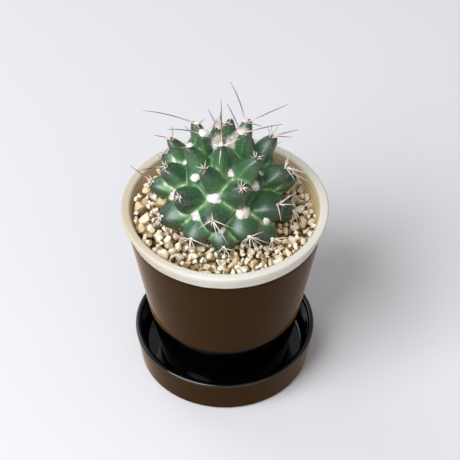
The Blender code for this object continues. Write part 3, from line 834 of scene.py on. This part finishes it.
class CACTUS_OT_pot(bpy.types.Operator):
    """Turns the clay pot and dips its wall in black glaze up to the rim"""

    bl_idname = "potted_cactus.make_pot"
    bl_label = "Pot"

    def execute(self, context):
        s = context.scene.cactus_pot
        rim, lip, skin = s.rim_radius / MM, s.lip_inner / MM, s.glaze_skin / MM
        top, wall, reflection_edge = s.glaze_top / MM, s.glaze_radius / MM, s.warm_reflection_edge / MM
        floor, neck = WALL_LOW[1], WALL_HIGH[1]
        # Up the outside, over the rim, down the inside and out under the floor, as radius, height and fillet
        clay = [
            (RING_RADIUS, FOOT_HEIGHT, 0.5), (FOOT_RADIUS - skin, FOOT_HEIGHT, 0.5), (wall - skin, top - 0.6, 0.0),
            (wall + 0.1, top + 0.5, 0.6), (rim - 0.5, top + 4.9, 6.0), (rim, POT_TOP, 2.3), (lip, POT_TOP, 1.6),
            (pot_inner_radius(neck), neck, 4.0), (pot_inner_radius(floor + 2.0), floor + 2.0, 2.0),
            (23.4, floor, 1.0), (HOLE_RADIUS, floor, 0.6), (HOLE_RADIUS, UNDERSIDE, 0.6),
            (RING_RADIUS, UNDERSIDE, 0.4),
        ]
        body = turned_piece("pot_clay", clay, 8, 4.0, s.steps)
        cut_notches(body)
        spots = points_of(body.data)
        away = np.hypot(spots[:, 0], spots[:, 1])
        inside = (away < lip + 0.6) * (1 - 0.55 * smooth_step(spots[:, 2], POT_TOP - 3.0, POT_TOP))
        set_attributes(body.data, inside=inside)
        smooth_sides(body.data)
        settle(body, bare_clay(s), "bare_clay", "pot")

        # Radius of the wall at the painted reflection's lower edge, where a ring of faces lies
        at_reflection_edge = FOOT_RADIUS + (wall - FOOT_RADIUS) * (reflection_edge - GLAZE_FOOT) / (top - GLAZE_FOOT)
        under = skin + 0.15
        coat = [
            (FOOT_RADIUS, GLAZE_FOOT, 0.4), (at_reflection_edge, reflection_edge, 0.0), (wall, top, 0.3), (wall - under, top + 0.1, 0.0),
            (FOOT_RADIUS - under, GLAZE_FOOT, 0.0),
        ]
        dipped = turned_piece("pot_glaze", coat, 4, 3.0, s.steps)
        mesh = dipped.data
        spots = points_of(mesh)
        around = np.arctan2(spots[:, 1], spots[:, 0])
        wave = sum(high * np.sin(count * around + phase) for high, count, phase in GLAZE_WAVES)
        spots[:, 2] += wave * smooth_step(spots[:, 2], top - 3.0, top)
        mesh.vertices.foreach_set("co", (spots * MM).astype(np.float32).ravel())
        mesh.update()
        set_attributes(mesh, thin=smooth_step(spots[:, 2], top - 2.2, top))
        cut_notches(dipped)
        smooth_sides(dipped.data)
        # Painted reflection: the wall above the edge gets the warm brown glaze, and the foot below it keeps the
        # glaze's own black
        settle(dipped, black_glaze(s, "dipped"), "black_glaze", "pot")
        second_finish(dipped.data, black_glaze(s, "at foot"), points_of(dipped.data)[:, 2] < reflection_edge + 0.1)
        return {"FINISHED"}


class CACTUS_OT_saucer(bpy.types.Operator):
    """Turns the glazed saucer"""

    bl_idname = "potted_cactus.make_saucer"
    bl_label = "Saucer"

    def execute(self, context):
        s = context.scene.cactus_pot
        rim, top = s.saucer_radius / MM, s.saucer_height / MM
        # Out along the underside, up the wall, over the rim and back along the floor, as radius, height and fillet
        corners = [
            (0.0, 0.0, 0.0), (SAUCER_FOOT, 0.0, 0.0), (SAUCER_CORNER, 0.9, 0.6), (rim, top, 1.5),
            (rim - SAUCER_WALL, top, 1.35), (36.9, 9.0, 4.0), (36.2, SAUCER_FLOOR, 2.4), (0.0, SAUCER_FLOOR, 0.0),
        ]
        made = turned_piece("saucer_glazed", corners, 9, 3.0, s.steps)
        mesh = made.data
        spots = points_of(mesh)
        away = np.hypot(spots[:, 0], spots[:, 1])
        set_attributes(mesh, thin=(spots[:, 2] < 1.2) * smooth_step(away, 36.0, 38.0))
        inside = ((away < 38.2) | (spots[:, 2] > top - 1.2)) & (spots[:, 2] > 2.0)
        smooth_sides(mesh)
        # Painted reflection: the outer wall gets the warm brown glaze, and the inside and rim keep the glaze's own
        # black
        settle(made, black_glaze(s, "dipped"), "black_glaze", "saucer")
        second_finish(mesh, black_glaze(s, "pooled"), inside)
        return {"FINISHED"}


class CACTUS_OT_fill(bpy.types.Operator):
    """Gives the drain net, the drainage layer, the potting mix and the packed gravel their finishes"""

    bl_idname = "potted_cactus.finish_fill"
    bl_label = "Net, Drainage and Potting Mix"

    def execute(self, context):
        finishes = {"drain_net": moulded_net(), **{name: packed_stone(*row) for name, row in PACKED.items()}}
        for name, finish in finishes.items():
            mesh = frame["nodes"][name].data
            mesh.materials.clear()
            mesh.materials.append(finish)
        return {"FINISHED"}


# Plant

Tubercle = namedtuple("Tubercle", "root tip out side rise width depths blunt")


def on_ellipsoid(azimuth, polar, size):
    """A point about the plant's middle, from its azimuth and its angle from the vertical."""
    around, down = math.radians(azimuth), math.radians(polar)
    x, y, z = MIDDLE
    level = size[0] * math.sin(down)
    return Vector((x + level * math.cos(around), y + level * math.sin(around), z + size[1] * math.cos(down)))


def tubercle_of(s, azimuth, polar, near):
    """A tubercle's root, tip, outward, sideways and upward directions, half width, half depths above and below its
    axis, and the share of them left at its tip."""
    turn, down, girth = LEANING.get((azimuth, polar), (0, 0, 1.0))
    root = on_ellipsoid(azimuth + turn, polar + ASCENT_AT_CROWN - ASCENT_FADE * polar + down, ROOT_ELLIPSOID)
    tip = on_ellipsoid(azimuth, polar, tuple(value * near for value in TIP_ELLIPSOID))
    out = (tip - root).normalized()
    around = math.radians(azimuth)
    side = Vector((-math.sin(around), math.cos(around), 0.0))
    side = (side - out * side.dot(out)).normalized()
    size = min(1.0, polar / FULL_SIZE_POLAR)
    blunt = TIP_SHARE[0] + (TIP_SHARE[1] - TIP_SHARE[0]) * size
    width = (s.crown_width + (s.full_width - s.crown_width) * size**2) * girth
    depth = (s.crown_depth + (s.full_depth - s.crown_depth) * size) * girth
    grown = clamp((polar - BROW_FROM) / BROW_OVER)
    depths = depth / MM * (1 + s.brow * grown), depth / MM * (1 - s.chin * grown)
    return Tubercle(root, tip, out, side, side.cross(out), width / MM, depths, blunt)


def section(share, cos_a, sin_a, blunt):
    """How far a tubercle's side stands from its axis: a diamond at its foot, rounder towards its tip."""
    power = DIAMOND + ROUNDER * share**2
    swell = (1.0 - (1.0 - blunt**NARROWING) * share**NARROWING) ** (1 / NARROWING)
    return swell / (abs(cos_a) ** power + abs(sin_a) ** power) ** (1 / power)


def heave(share, depths, blunt):
    """How far a tubercle bulges above its axis, which leaves its areole low on the blunt tip."""
    return BULGE * depths[0] * blunt * share**3


def tubercle_shell(t, points, faces, sides=40, rings=18, dome=5):
    """Adds one closed tubercle with a domed tip to the lists of points and faces."""
    axis = t.tip - t.root
    first = len(points)
    stations = [(index / (rings - 1), 1.0, 0.0) for index in range(rings)]
    for step in range(1, dome):
        angle = math.pi / 2 * step / dome
        stations.append((1.0, math.cos(angle), 0.9 * math.sin(angle)))
    for share, shrink, ahead in stations:
        centre = t.root + axis * share + t.out * ahead + t.rise * heave(share, t.depths, t.blunt)
        for step in range(sides):
            cos_a, sin_a = circle(step, sides)
            reach = section(share, cos_a, sin_a, t.blunt) * shrink
            depth = t.depths[0] if sin_a > 0 else t.depths[1]
            points.append(centre + t.side * (t.width * reach * cos_a) + t.rise * (depth * reach * sin_a))
    last = first + (len(stations) - 1) * sides
    for low in range(first, last, sides):
        for step in range(sides):
            after = (step + 1) % sides
            faces.append((low + step, low + after, low + sides + after, low + sides + step))
    faces.append(tuple(range(first + sides - 1, first - 1, -1)))
    faces.append(tuple(range(last, last + sides)))


def distances(tubercles, spots):
    """Each spot's rough distance in millimetres to every tubercle's side, and its share of the way to the tip."""
    rows, shares = [], []
    for t in tubercles:
        axis = np.array(t.tip - t.root)
        long = np.linalg.norm(axis)
        local = spots - np.array(t.root)
        ahead = local @ axis / long
        share = np.clip(ahead / long, 0.0, 1.0)
        across, up = local @ np.array(t.side) / t.width, local @ np.array(t.rise) - heave(share, t.depths, t.blunt)
        up = np.where(up > 0, up / t.depths[0], up / t.depths[1])
        away = np.hypot(across, up) + 1e-9
        reach = section(share, across / away, up / away, t.blunt)
        beyond = np.maximum(ahead - long, 0.0) + np.maximum(-ahead, 0.0)
        sideways = (away - reach) * (t.width + sum(t.depths) / 2) / 2
        rows.append(np.where(beyond > 0, np.hypot(np.maximum(sideways, 0.0), beyond), sideways))
        shares.append(share)
    return np.array(rows), np.array(shares)


def plant_surface():
    """The plant's joined skin as a search tree, in millimetres."""
    mesh = bpy.data.objects["cactus_body"].data
    spots = [Vector(spot) for spot in points_of(mesh)]
    return BVHTree.FromPolygons(spots, [tuple(face.vertices) for face in mesh.polygons])


class CACTUS_OT_body(bpy.types.Operator):
    """Grows the stem with its tubercles as one skin"""

    bl_idname = "potted_cactus.make_body"
    bl_label = "Stem and Tubercles"

    def execute(self, context):
        s = context.scene.cactus_plant
        radius, half = STEM_ELLIPSOID
        outline = [(0.0, ROOT_TIP)] + list(reversed(STEM_FOOT))
        for polar in range(90, 0, -5):
            down = math.radians(polar)
            outline.append((radius * math.sin(down), MIDDLE[2] + half * math.cos(down)))
        outline.append((0.0, MIDDLE[2] + half))
        core = turned("core", outline, 72, centre=MIDDLE[:2])
        points = [Vector(spot) for spot in points_of(core)]
        faces = [tuple(face.vertices) for face in core.polygons]
        bpy.data.meshes.remove(core)
        tubercles = [tubercle_of(s, *row[:3]) for row in TUBERCLES]
        for t in tubercles:
            tubercle_shell(t, points, faces)
        made = new_object("cactus_body", mesh_of("cactus_body", points, faces))
        joined = made.modifiers.new("joined skin", "REMESH")
        joined.mode = "VOXEL"
        joined.voxel_size = s.detail
        softened = made.modifiers.new("soft ridges", "SMOOTH")
        softened.factor = 0.5
        softened.iterations = 2
        plain(made)
        gaps, shares = distances(tubercles, points_of(made.data))
        order = np.sort(gaps, axis=0)
        own = np.argmin(gaps, axis=0)
        polars = np.array([row[1] for row in TUBERCLES], float)[own]
        dice = random.Random(VIGOUR_SEED)
        vigour = np.array([dice.uniform(0.75, 1.0) for _ in TUBERCLES])[own]
        vigour *= 0.45 + 0.55 * smooth_step(polars, 20.0, 55.0)
        # The seams narrow to lines on the low tubercles
        inward = (order[1] + 1.5 * np.maximum(order[0], 0.0)) * (1.0 + 0.8 * smooth_step(polars, 68.0, 84.0))
        tipward = shares[own, np.arange(len(own))]
        set_attributes(made.data, border=np.clip(inward, 0.0, 12.0), vigour=vigour, tipward=tipward)
        made.data.shade_smooth()
        settle(made, cactus_skin(s), "cactus_skin", "cactus")
        return {"FINISHED"}


def spine_line(t, spread, heading, rise, droop, long):
    """Points from inside the areole along a spine that droops evenly over its length."""
    level = Vector((math.cos(math.radians(heading)), math.sin(math.radians(heading)), 0.0))
    point = t.tip + level * spread
    line = [t.tip - t.out * SEATED + level * spread / 2, point]
    for step in range(STRETCHES):
        slope = math.radians(rise - droop * (step + 0.5) / STRETCHES)
        point = point + (level * math.cos(slope) + Vector((0, 0, math.sin(slope)))) * long / STRETCHES
        line.append(point)
    return line


def short_spines(t, dice, count, shortest, longest):
    """Short spines that spread round an areole, as heading, rise, droop and length."""
    start = dice.uniform(0, 2 * math.pi)
    found = []
    for index in range(count):
        angle = start + 2 * math.pi * (index + dice.uniform(-0.25, 0.25)) / count
        way = (t.side * math.cos(angle) + t.rise * math.sin(angle)) * 0.85 + t.out * dice.uniform(0.3, 0.8)
        way.normalize()
        heading = math.degrees(math.atan2(way.y, way.x))
        slope = math.degrees(math.asin(clamp(way.z, -1.0, 1.0)))
        long = dice.uniform(shortest, longest)
        found.append((heading, slope, dice.uniform(0, 12), long))
    return found


class CACTUS_OT_spines(bpy.types.Operator):
    """Sets the tapered spines in the areoles"""

    bl_idname = "potted_cactus.make_spines"
    bl_label = "Spines"

    def execute(self, context):
        s = context.scene.cactus_spines
        dice = random.Random(s.seed)
        rows, edges = [], []
        for azimuth, polar, near, listed in TUBERCLES:
            t = tubercle_of(context.scene.cactus_plant, azimuth, polar, near)
            # Long spines are dark in the upper half and on the left, and in the crown only the longest are
            dark_side = polar < 55 or (abs(azimuth) > 125 and polar < 75)
            pale = 9.0 if polar < 20 else 2.5
            span = (3.5, 7.5) if polar > 75 else (1.9, 3.4)
            for heading, rise, droop, long in (*listed, *short_spines(t, dice, 3 if polar < 30 else 6, *span)):
                line = spine_line(t, s.spread / MM, heading, rise, droop, long)
                edges += [(len(rows) + step, len(rows) + step + 1) for step in range(STRETCHES + 1)]
                girth = s.thickness / MM * (0.76 + 0.24 * min(1.0, long / THICK_FROM))
                dark = clamp((long - pale) / 4.5) if dark_side else min(0.35, long / 40.0)
                for step, point in enumerate(line):
                    share = max(0, step - 1) / STRETCHES
                    rows.append((point, girth * (1.0 - TAPER * share**2.0) * MM, share, dark))
        points, thick, along, darks = zip(*rows)
        mesh = mesh_of("cactus_spines", points, [], edges)
        set_attributes(mesh, thick=thick, along=along, dark=darks)
        made = new_object("cactus_spines", mesh)
        tree, add, given = new_tree("spines from lines", Sides=("Int", 6), Thickness=("Float", 1.0))
        curve = add("GeometryNodeMeshToCurve", Mesh=given["Geometry"])
        girths = add("GeometryNodeInputNamedAttribute", {"data_type": "FLOAT"}, Name="thick")
        scaled = add("Math", TIMES, girths[0], given["Thickness"])
        ring = add("GeometryNodeCurvePrimitiveCircle", Resolution=given["Sides"], Radius=1.0)
        tube = add("GeometryNodeCurveToMesh", Curve=curve[0], in1=ring[0], Fill_Caps=True, Scale=scaled[0])
        round_off = add("GeometryNodeSetShadeSmooth", Geometry=tube[0])
        end_tree(add, round_off[0], given["Material"])
        run_tree(made, tree, Sides=6, Thickness=1.0, Material=spine_horn(s))
        settle(made, None, "spine", "cactus")
        return {"FINISHED"}


def wool_cushion(rows, faces, centre, out, radii, aged, hairs, around=16, up=9):
    """Adds one lumpy cushion of wool, flattened along the way that it faces, with how long its hairs are."""
    turn = Vector(out).to_track_quat("Z", "Y")
    first = len(rows)
    for ring in range(up + 1):
        down = math.pi * ring / up
        for step in range(1 if ring in (0, up) else around):
            cos_a, sin_a = circle(step, around)
            unit = Vector((math.sin(down) * cos_a, math.sin(down) * sin_a, math.cos(down)))
            spot = Vector((unit.x * radii[0], unit.y * radii[1], unit.z * radii[2]))
            place = Vector(centre) + turn @ spot
            lump = 1.0 + 0.42 * noise.noise(place * 0.8) + 0.22 * noise.noise(place * 2.1)
            hairy = float(unit.z > -0.25 and hairs > 0.0)
            rows.append((Vector(centre) + turn @ (spot * lump), aged, hairy, hairs))
    for step in range(around):
        after = (step + 1) % around
        faces.append((first, first + 1 + step, first + 1 + after))
        for ring in range(up - 2):
            low = first + 1 + ring * around
            faces.append((low + step, low + around + step, low + around + after, low + after))
        low = first + 1 + (up - 2) * around
        faces.append((low + step, low + around, low + after))


def axil_seat(surface, azimuth, polar, turn, lift, wide, high, aged):
    """Where wool that lies this far round and up from a tubercle's tip meets the skin, and which way it faces."""
    above = on_ellipsoid(azimuth + turn, polar - lift, TIP_ELLIPSOID)
    way = (above - Vector(MIDDLE)).normalized()
    found = surface.ray_cast(above + way * 12.0, -way, 60.0)[0]
    if found is None:
        raise RuntimeError(f"no skin under the wool above the tubercle at {azimuth}, {polar}")
    return found, way, wide, high, aged


def fibre_shapes(s, dice):
    """Three curled fibres of the given length, each a thin three-sided tube."""
    kept = bpy.data.collections.new("fibre shapes")
    long, radius = s.fibre_length / MM, s.fibre_radius / MM
    for index in range(3):
        bend = dice.uniform(0.5, 1.1)
        points, faces = [], []
        for ring in range(3):
            share = ring / 2
            up = share * long * 0.8
            centre = Vector((math.sin(bend * share) * share * long * 0.8, 0.25 * math.sin(4 * share + index), up))
            thin = radius * (1.0 - 0.6 * share)
            for step in range(3):
                cos_a, sin_a = circle(step, 3)
                points.append(centre + Vector((thin * cos_a, thin * sin_a, 0.0)))
        for low in (0, 3):
            for step in range(3):
                after = (step + 1) % 3
                faces.append((low + step, low + after, low + 3 + after, low + 3 + step))
        faces += [(2, 1, 0), (6, 7, 8)]
        kept.objects.link(bpy.data.objects.new(f"fibre_{index}", mesh_of(f"fibre_{index}", points, faces)))
    return kept


def drop_shapes(kept):
    for made in list(kept.objects):
        bpy.data.meshes.remove(made.data)
    bpy.data.collections.remove(kept)


class CACTUS_OT_wool(bpy.types.Operator):
    """Fills the axils, the areoles and the crown with wool"""

    bl_idname = "potted_cactus.make_wool"
    bl_label = "Wool"

    def execute(self, context):
        s = context.scene.cactus_wool
        dice = random.Random(s.seed)
        surface = plant_surface()
        rows, faces = [], []
        for azimuth, polar, near, _ in TUBERCLES:
            t = tubercle_of(context.scene.cactus_plant, azimuth, polar, near)
            size, aged, hairs = TIP_WOOL.get((azimuth, polar), WORN_TIP)
            flat = [size * share for share in TIP_SHAPE]
            wool_cushion(rows, faces, t.tip + t.out * TIP_LIFT, t.out, flat, aged, hairs)
            if polar < AXILS_FROM:
                continue
            # The axil's wool lies in the deepest place above the tubercle, unless its own row says where
            fresh = 0.7 if polar < 60 else 1.0
            wide, high = fresh * dice.uniform(1.5, 2.3), fresh * dice.uniform(1.3, 1.9)
            tries = [(turn, lift, wide, high, 0.1) for turn in range(-10, 11, 4) for lift in range(10, 25, 3)]
            if (azimuth, polar) in AXIL_WOOL:
                tries = [AXIL_WOOL[azimuth, polar]]
            seats = [axil_seat(surface, azimuth, polar, *row) for row in tries]
            found, way, wide, high, aged = min(seats, key=lambda seat: (seat[0] - Vector(MIDDLE)).length)
            flat = (high * 1.05, wide * 1.05, min(wide, high) * 0.72)
            wool_cushion(rows, faces, found + way * 0.22 * high, way, flat, aged, AXIL_HAIRS)
        for *centre, radius, aged in CROWN_WOOL:
            wool_cushion(rows, faces, centre, (0, 0, 1), (radius, radius, radius), aged, CROWN_HAIRS)
        points, tints, hairy, reaches = zip(*rows)
        mesh = mesh_of("cactus_wool", points, faces)
        face_outwards(mesh)
        set_attributes(mesh, aged=tints, open=hairy, reach=reaches)
        made = new_object("cactus_wool", mesh)
        tree, add, given = new_tree(
            "wool fibres on cushions", Fibres=("Collection", None), Density=("Float", 1.0), Seed=("Int", 0)
        )
        bare = add("GeometryNodeInputNamedAttribute", {"data_type": "FLOAT"}, Name="open")
        dense = add("Math", TIMES, bare[0], given["Density"])
        thrown = add(
            "GeometryNodeDistributePointsOnFaces", Mesh=given["Geometry"], Density=dense[0], Seed=given["Seed"]
        )
        shapes = add(
            "GeometryNodeCollectionInfo", Collection=given["Fibres"], Separate_Children=True, Reset_Children=True
        )
        lean = add(
            "FunctionNodeRandomValue", {"data_type": "FLOAT_VECTOR"},
            in0=(-1.35, -1.35, -3.14), in1=(1.35, 1.35, 3.14), Seed=given["Seed"],
        )
        leaning = add("FunctionNodeEulerToRotation", Euler=lean[0])
        local = {"rotation_space": "LOCAL"}
        way = add("FunctionNodeRotateRotation", local, Rotation=thrown["Rotation"], Rotate_By=leaning[0])
        varied = add("FunctionNodeRandomValue", {"data_type": "FLOAT"}, in2=0.5, in3=1.1, Seed=given["Seed"])
        reach = add("GeometryNodeInputNamedAttribute", {"data_type": "FLOAT"}, Name="reach")
        long = add("Math", TIMES, varied[1], reach[0])
        placed = add(
            "GeometryNodeInstanceOnPoints", Points=thrown["Points"], Instance=shapes[0], Pick_Instance=True,
            Rotation=way[0], Scale=long[0],
        )
        both = add("GeometryNodeJoinGeometry", Geometry=[placed[0], given["Geometry"]])
        round_off = add("GeometryNodeSetShadeSmooth", Geometry=both[0])
        end_tree(add, round_off[0], given["Material"])
        kept = fibre_shapes(s, dice)
        run_tree(made, tree, Fibres=kept, Density=s.per_square_mm / MM**2, Seed=s.seed, Material=plant_wool(s))
        drop_shapes(kept)
        settle(made, None, "wool", "cactus")
        return {"FINISHED"}


# Gravel


def grain_shapes(count, dice):
    """Broken pieces of stone about one unit in radius: hulls of a few points, their edges worn off."""
    kept = bpy.data.collections.new("grain shapes")
    for index in range(count):
        shape = bmesh.new()
        squash = Vector((1.0, dice.uniform(0.72, 0.98), dice.uniform(0.6, 0.88)))
        for _ in range(12):
            spot = Vector((dice.gauss(0, 1), dice.gauss(0, 1), dice.gauss(0, 1))).normalized()
            shape.verts.new(spot * squash * dice.uniform(0.82, 1.1))
        hull = bmesh.ops.convex_hull(shape, input=shape.verts)
        loose = [item for item in hull["geom_interior"] if isinstance(item, bmesh.types.BMVert)]
        bmesh.ops.delete(shape, geom=loose, context="VERTS")
        bmesh.ops.dissolve_limit(shape, angle_limit=math.radians(16), verts=shape.verts, edges=shape.edges)
        bmesh.ops.bevel(shape, geom=shape.edges[:], offset=0.09, segments=1, affect="EDGES", clamp_overlap=True)
        bmesh.ops.recalc_face_normals(shape, faces=shape.faces)
        mesh = shape_to_mesh(f"grain_{index}", shape)
        kept.objects.link(bpy.data.objects.new(f"grain_{index}", mesh))
    return kept


def clear_of_plant(surface, spot, radius):
    """True where a grain neither touches the plant nor lies in it."""
    found, normal, _, away = surface.find_nearest(Vector(spot))
    return away > radius * REST and (Vector(spot) - found).dot(normal) > 0


def pour(s, surface, stones, dice, bed, small, large, most):
    """Drops grains one by one into the lowest of a few seeded places until they reach the surface."""
    placed = list(stones)
    wall = pot_inner_radius(POUR_HEIGHT)
    misses = 0
    while misses < MISSES and len(placed) < most:
        radius = small + (large - small) * dice.random() ** RARITY
        known = np.array(placed)
        best = None
        for _ in range(TRIES):
            angle = dice.uniform(0, 2 * math.pi)
            away = (wall - radius * BESIDE) * math.sqrt(dice.uniform(BARE, 1.0))
            x, y = away * math.cos(angle), away * math.sin(angle)
            flat = (known[:, 0] - x) ** 2 + (known[:, 1] - y) ** 2
            touch = ((known[:, 3] + radius) * NEST) ** 2
            over = flat < touch
            height = bed + radius * REST
            if over.any():
                height = max(height, float((known[over, 2] + np.sqrt(touch[over] - flat[over])).max()))
            if best is not None and height >= best[2]:
                continue
            heaped = HEAP * (1.0 - clamp((math.dist((x, y), MIDDLE[:2]) - HEAP_FROM) / HEAP_OVER))
            banked = BANK * float(smooth_step(-x, BANK_FROM, BANK_TO))
            low_enough = height + radius * CREST < s.surface / MM + max(heaped, banked)
            if low_enough and clear_of_plant(surface, (x, y, height), radius):
                best = (x, y, height)
        if best is None:
            misses += 1
            continue
        placed.append((*best, radius))
    return placed


class CACTUS_OT_gravel(bpy.types.Operator):
    """Pours the loose grains round the plant"""

    bl_idname = "potted_cactus.make_gravel"
    bl_label = "Gravel"

    def execute(self, context):
        s = context.scene.cactus_gravel
        dice = random.Random(s.seed)
        names = sorted(name for name in frame["nodes"] if name.startswith("gravel_stone_"))
        stones = []
        for name in names:
            low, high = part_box(name)
            centre, size = (low + high) / 2 / MM, (high - low) / MM
            stones.append((*centre, (size.x + size.y + size.z) / 6))
        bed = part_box("gravel_bed")[1].z / MM
        surface = plant_surface()
        placed = pour(s, surface, stones, dice, bed, s.smallest / MM, s.largest / MM, MOST_COARSE)
        placed = pour(s, surface, placed, dice, bed, s.fines / MM, s.smallest / MM, MOST_GRAINS)
        mesh = mesh_of("gravel_grains", [item[:3] for item in placed], [])
        rows = []
        for item in placed:
            sizes = [item[3] * MM * 1.08 * dice.uniform(0.88, 1.12) for _ in range(3)]
            turns = [dice.uniform(-math.pi, math.pi) for _ in range(3)]
            rows.append((sizes, turns, dice.random(), dice.randrange(s.shapes)))
        set_attributes(mesh, **dict(zip(("size", "turn", "tone", "variant"), zip(*rows))))
        made = new_object("gravel_grains", mesh)
        tree, add, given = new_tree("grains on points", Grains=("Collection", None), Size=("Float", 1.0))
        shapes = add(
            "GeometryNodeCollectionInfo", Collection=given["Grains"], Separate_Children=True, Reset_Children=True
        )
        size, turn, which = (
            add("GeometryNodeInputNamedAttribute", {"data_type": kind}, Name=name)[0]
            for name, kind in (("size", "FLOAT_VECTOR"), ("turn", "FLOAT_VECTOR"), ("variant", "INT"))
        )
        spin = add("FunctionNodeEulerToRotation", Euler=turn)
        grown = add("VectorMath", {"operation": "SCALE"}, size, Scale=given["Size"])
        laid = add(
            "GeometryNodeInstanceOnPoints", Points=given["Geometry"], Instance=shapes[0], Pick_Instance=True,
            Instance_Index=which, Rotation=spin[0], Scale=grown[0],
        )
        end_tree(add, laid[0], given["Material"])
        kept = grain_shapes(s.shapes, dice)
        run_tree(made, tree, Grains=kept, Size=1.0, Material=gravel_stone(s))
        drop_shapes(kept)
        settle(made, None, "pale_gravel", *names)
        return {"FINISHED"}


# Stage


def aim(place, target):
    """The turn that points a light or a camera at its target."""
    return (Vector(target) - Vector(place)).to_track_quat("-Z", "Y")


class CACTUS_OT_stage(bpy.types.Operator):
    """Sets the plain floor, the soft studio light and the camera"""

    bl_idname = "potted_cactus.set_stage"
    bl_label = "Stage"

    def execute(self, context):
        s = context.scene.cactus_stage
        mesh = bpy.data.meshes.new("floor")
        corners = [(x * FLOOR_HALF, y * FLOOR_HALF, -FLOOR_DROP) for x, y in ((-1, -1), (1, -1), (1, 1), (-1, 1))]
        mesh.from_pydata(corners, [], [(0, 1, 2, 3)])
        mesh.materials.append(painted_floor(s))
        floor = new_object("floor", mesh)

        for name, place, height, side, power, shade in LIGHTS:
            light = bpy.data.lights.new(name, "AREA")
            light.shape = "RECTANGLE"
            light.size = light.size_y = side
            light.energy = getattr(s, power)
            light.color = linear(shade)
            made = new_object(name, light)
            made.location = place
            made.rotation_euler = aim(place, (0.0, 0.0, height)).to_euler()
        world = bpy.data.worlds.new("even light")
        world.use_nodes = True
        back = world.node_tree.nodes["Background"].inputs
        back["Color"].default_value = rgba(s.sky_tone)
        back["Strength"].default_value = s.sky
        scene = context.scene
        scene.world = world
        scene.view_settings.view_transform = "Standard"
        scene.view_settings.look = "None"

        tilt = math.radians(CAMERA_TILT)
        target = Vector(CAMERA_TARGET)
        data = bpy.data.cameras.new("camera")
        data.sensor_width, data.lens = CAMERA_SENSOR, CAMERA_LENS
        data.clip_start, data.clip_end = 0.05, 20.0
        camera = new_object("camera", data)
        camera.location = target + Vector((0.0, -math.cos(tilt), math.sin(tilt))) * CAMERA_REACH
        roll = Matrix.Rotation(math.radians(CAMERA_ROLL), 3, "Z")
        camera.rotation_euler = (aim(camera.location, target).to_matrix() @ roll).to_euler()
        scene.camera = camera
        return {"FINISHED"}


class CACTUS_PT_panel(bpy.types.Panel):
    """Lists the pieces"""

    bl_idname = "CACTUS_PT_panel"
    bl_label = "Potted Cactus"
    bl_space_type = "VIEW_3D"
    bl_region_type = "UI"
    bl_category = "Potted Cactus"

    def draw(self, context):
        for piece in PIECES:
            self.layout.operator(piece.bl_idname)
        for group in GROUPS:
            box = self.layout.box()
            settings = getattr(context.scene, group)
            for name in settings.__annotations__:
                box.prop(settings, name)


PIECES = (
    CACTUS_OT_pot, CACTUS_OT_saucer, CACTUS_OT_fill, CACTUS_OT_body, CACTUS_OT_spines, CACTUS_OT_wool,
    CACTUS_OT_gravel, CACTUS_OT_stage,
)
GROUPS = {
    "cactus_pot": PotSettings,
    "cactus_gravel": GravelSettings,
    "cactus_plant": PlantSettings,
    "cactus_spines": SpineSettings,
    "cactus_wool": WoolSettings,
    "cactus_stage": StageSettings,
}


def register():
    for item in (*GROUPS.values(), *PIECES, CACTUS_PT_panel):
        bpy.utils.register_class(item)
    for name, group in GROUPS.items():
        setattr(bpy.types.Scene, name, bpy.props.PointerProperty(type=group))


def unregister():
    for name in GROUPS:
        delattr(bpy.types.Scene, name)
    for item in (CACTUS_PT_panel, *reversed(PIECES), *reversed(tuple(GROUPS.values()))):
        bpy.utils.unregister_class(item)


def main():
    register()
    bpy.ops.potted_cactus.make_pot()
    bpy.ops.potted_cactus.make_saucer()
    bpy.ops.potted_cactus.finish_fill()
    bpy.ops.potted_cactus.make_body()
    bpy.ops.potted_cactus.make_spines()
    bpy.ops.potted_cactus.make_wool()
    bpy.ops.potted_cactus.make_gravel()
    bpy.ops.potted_cactus.set_stage()


if __name__ == "__main__":
    main()
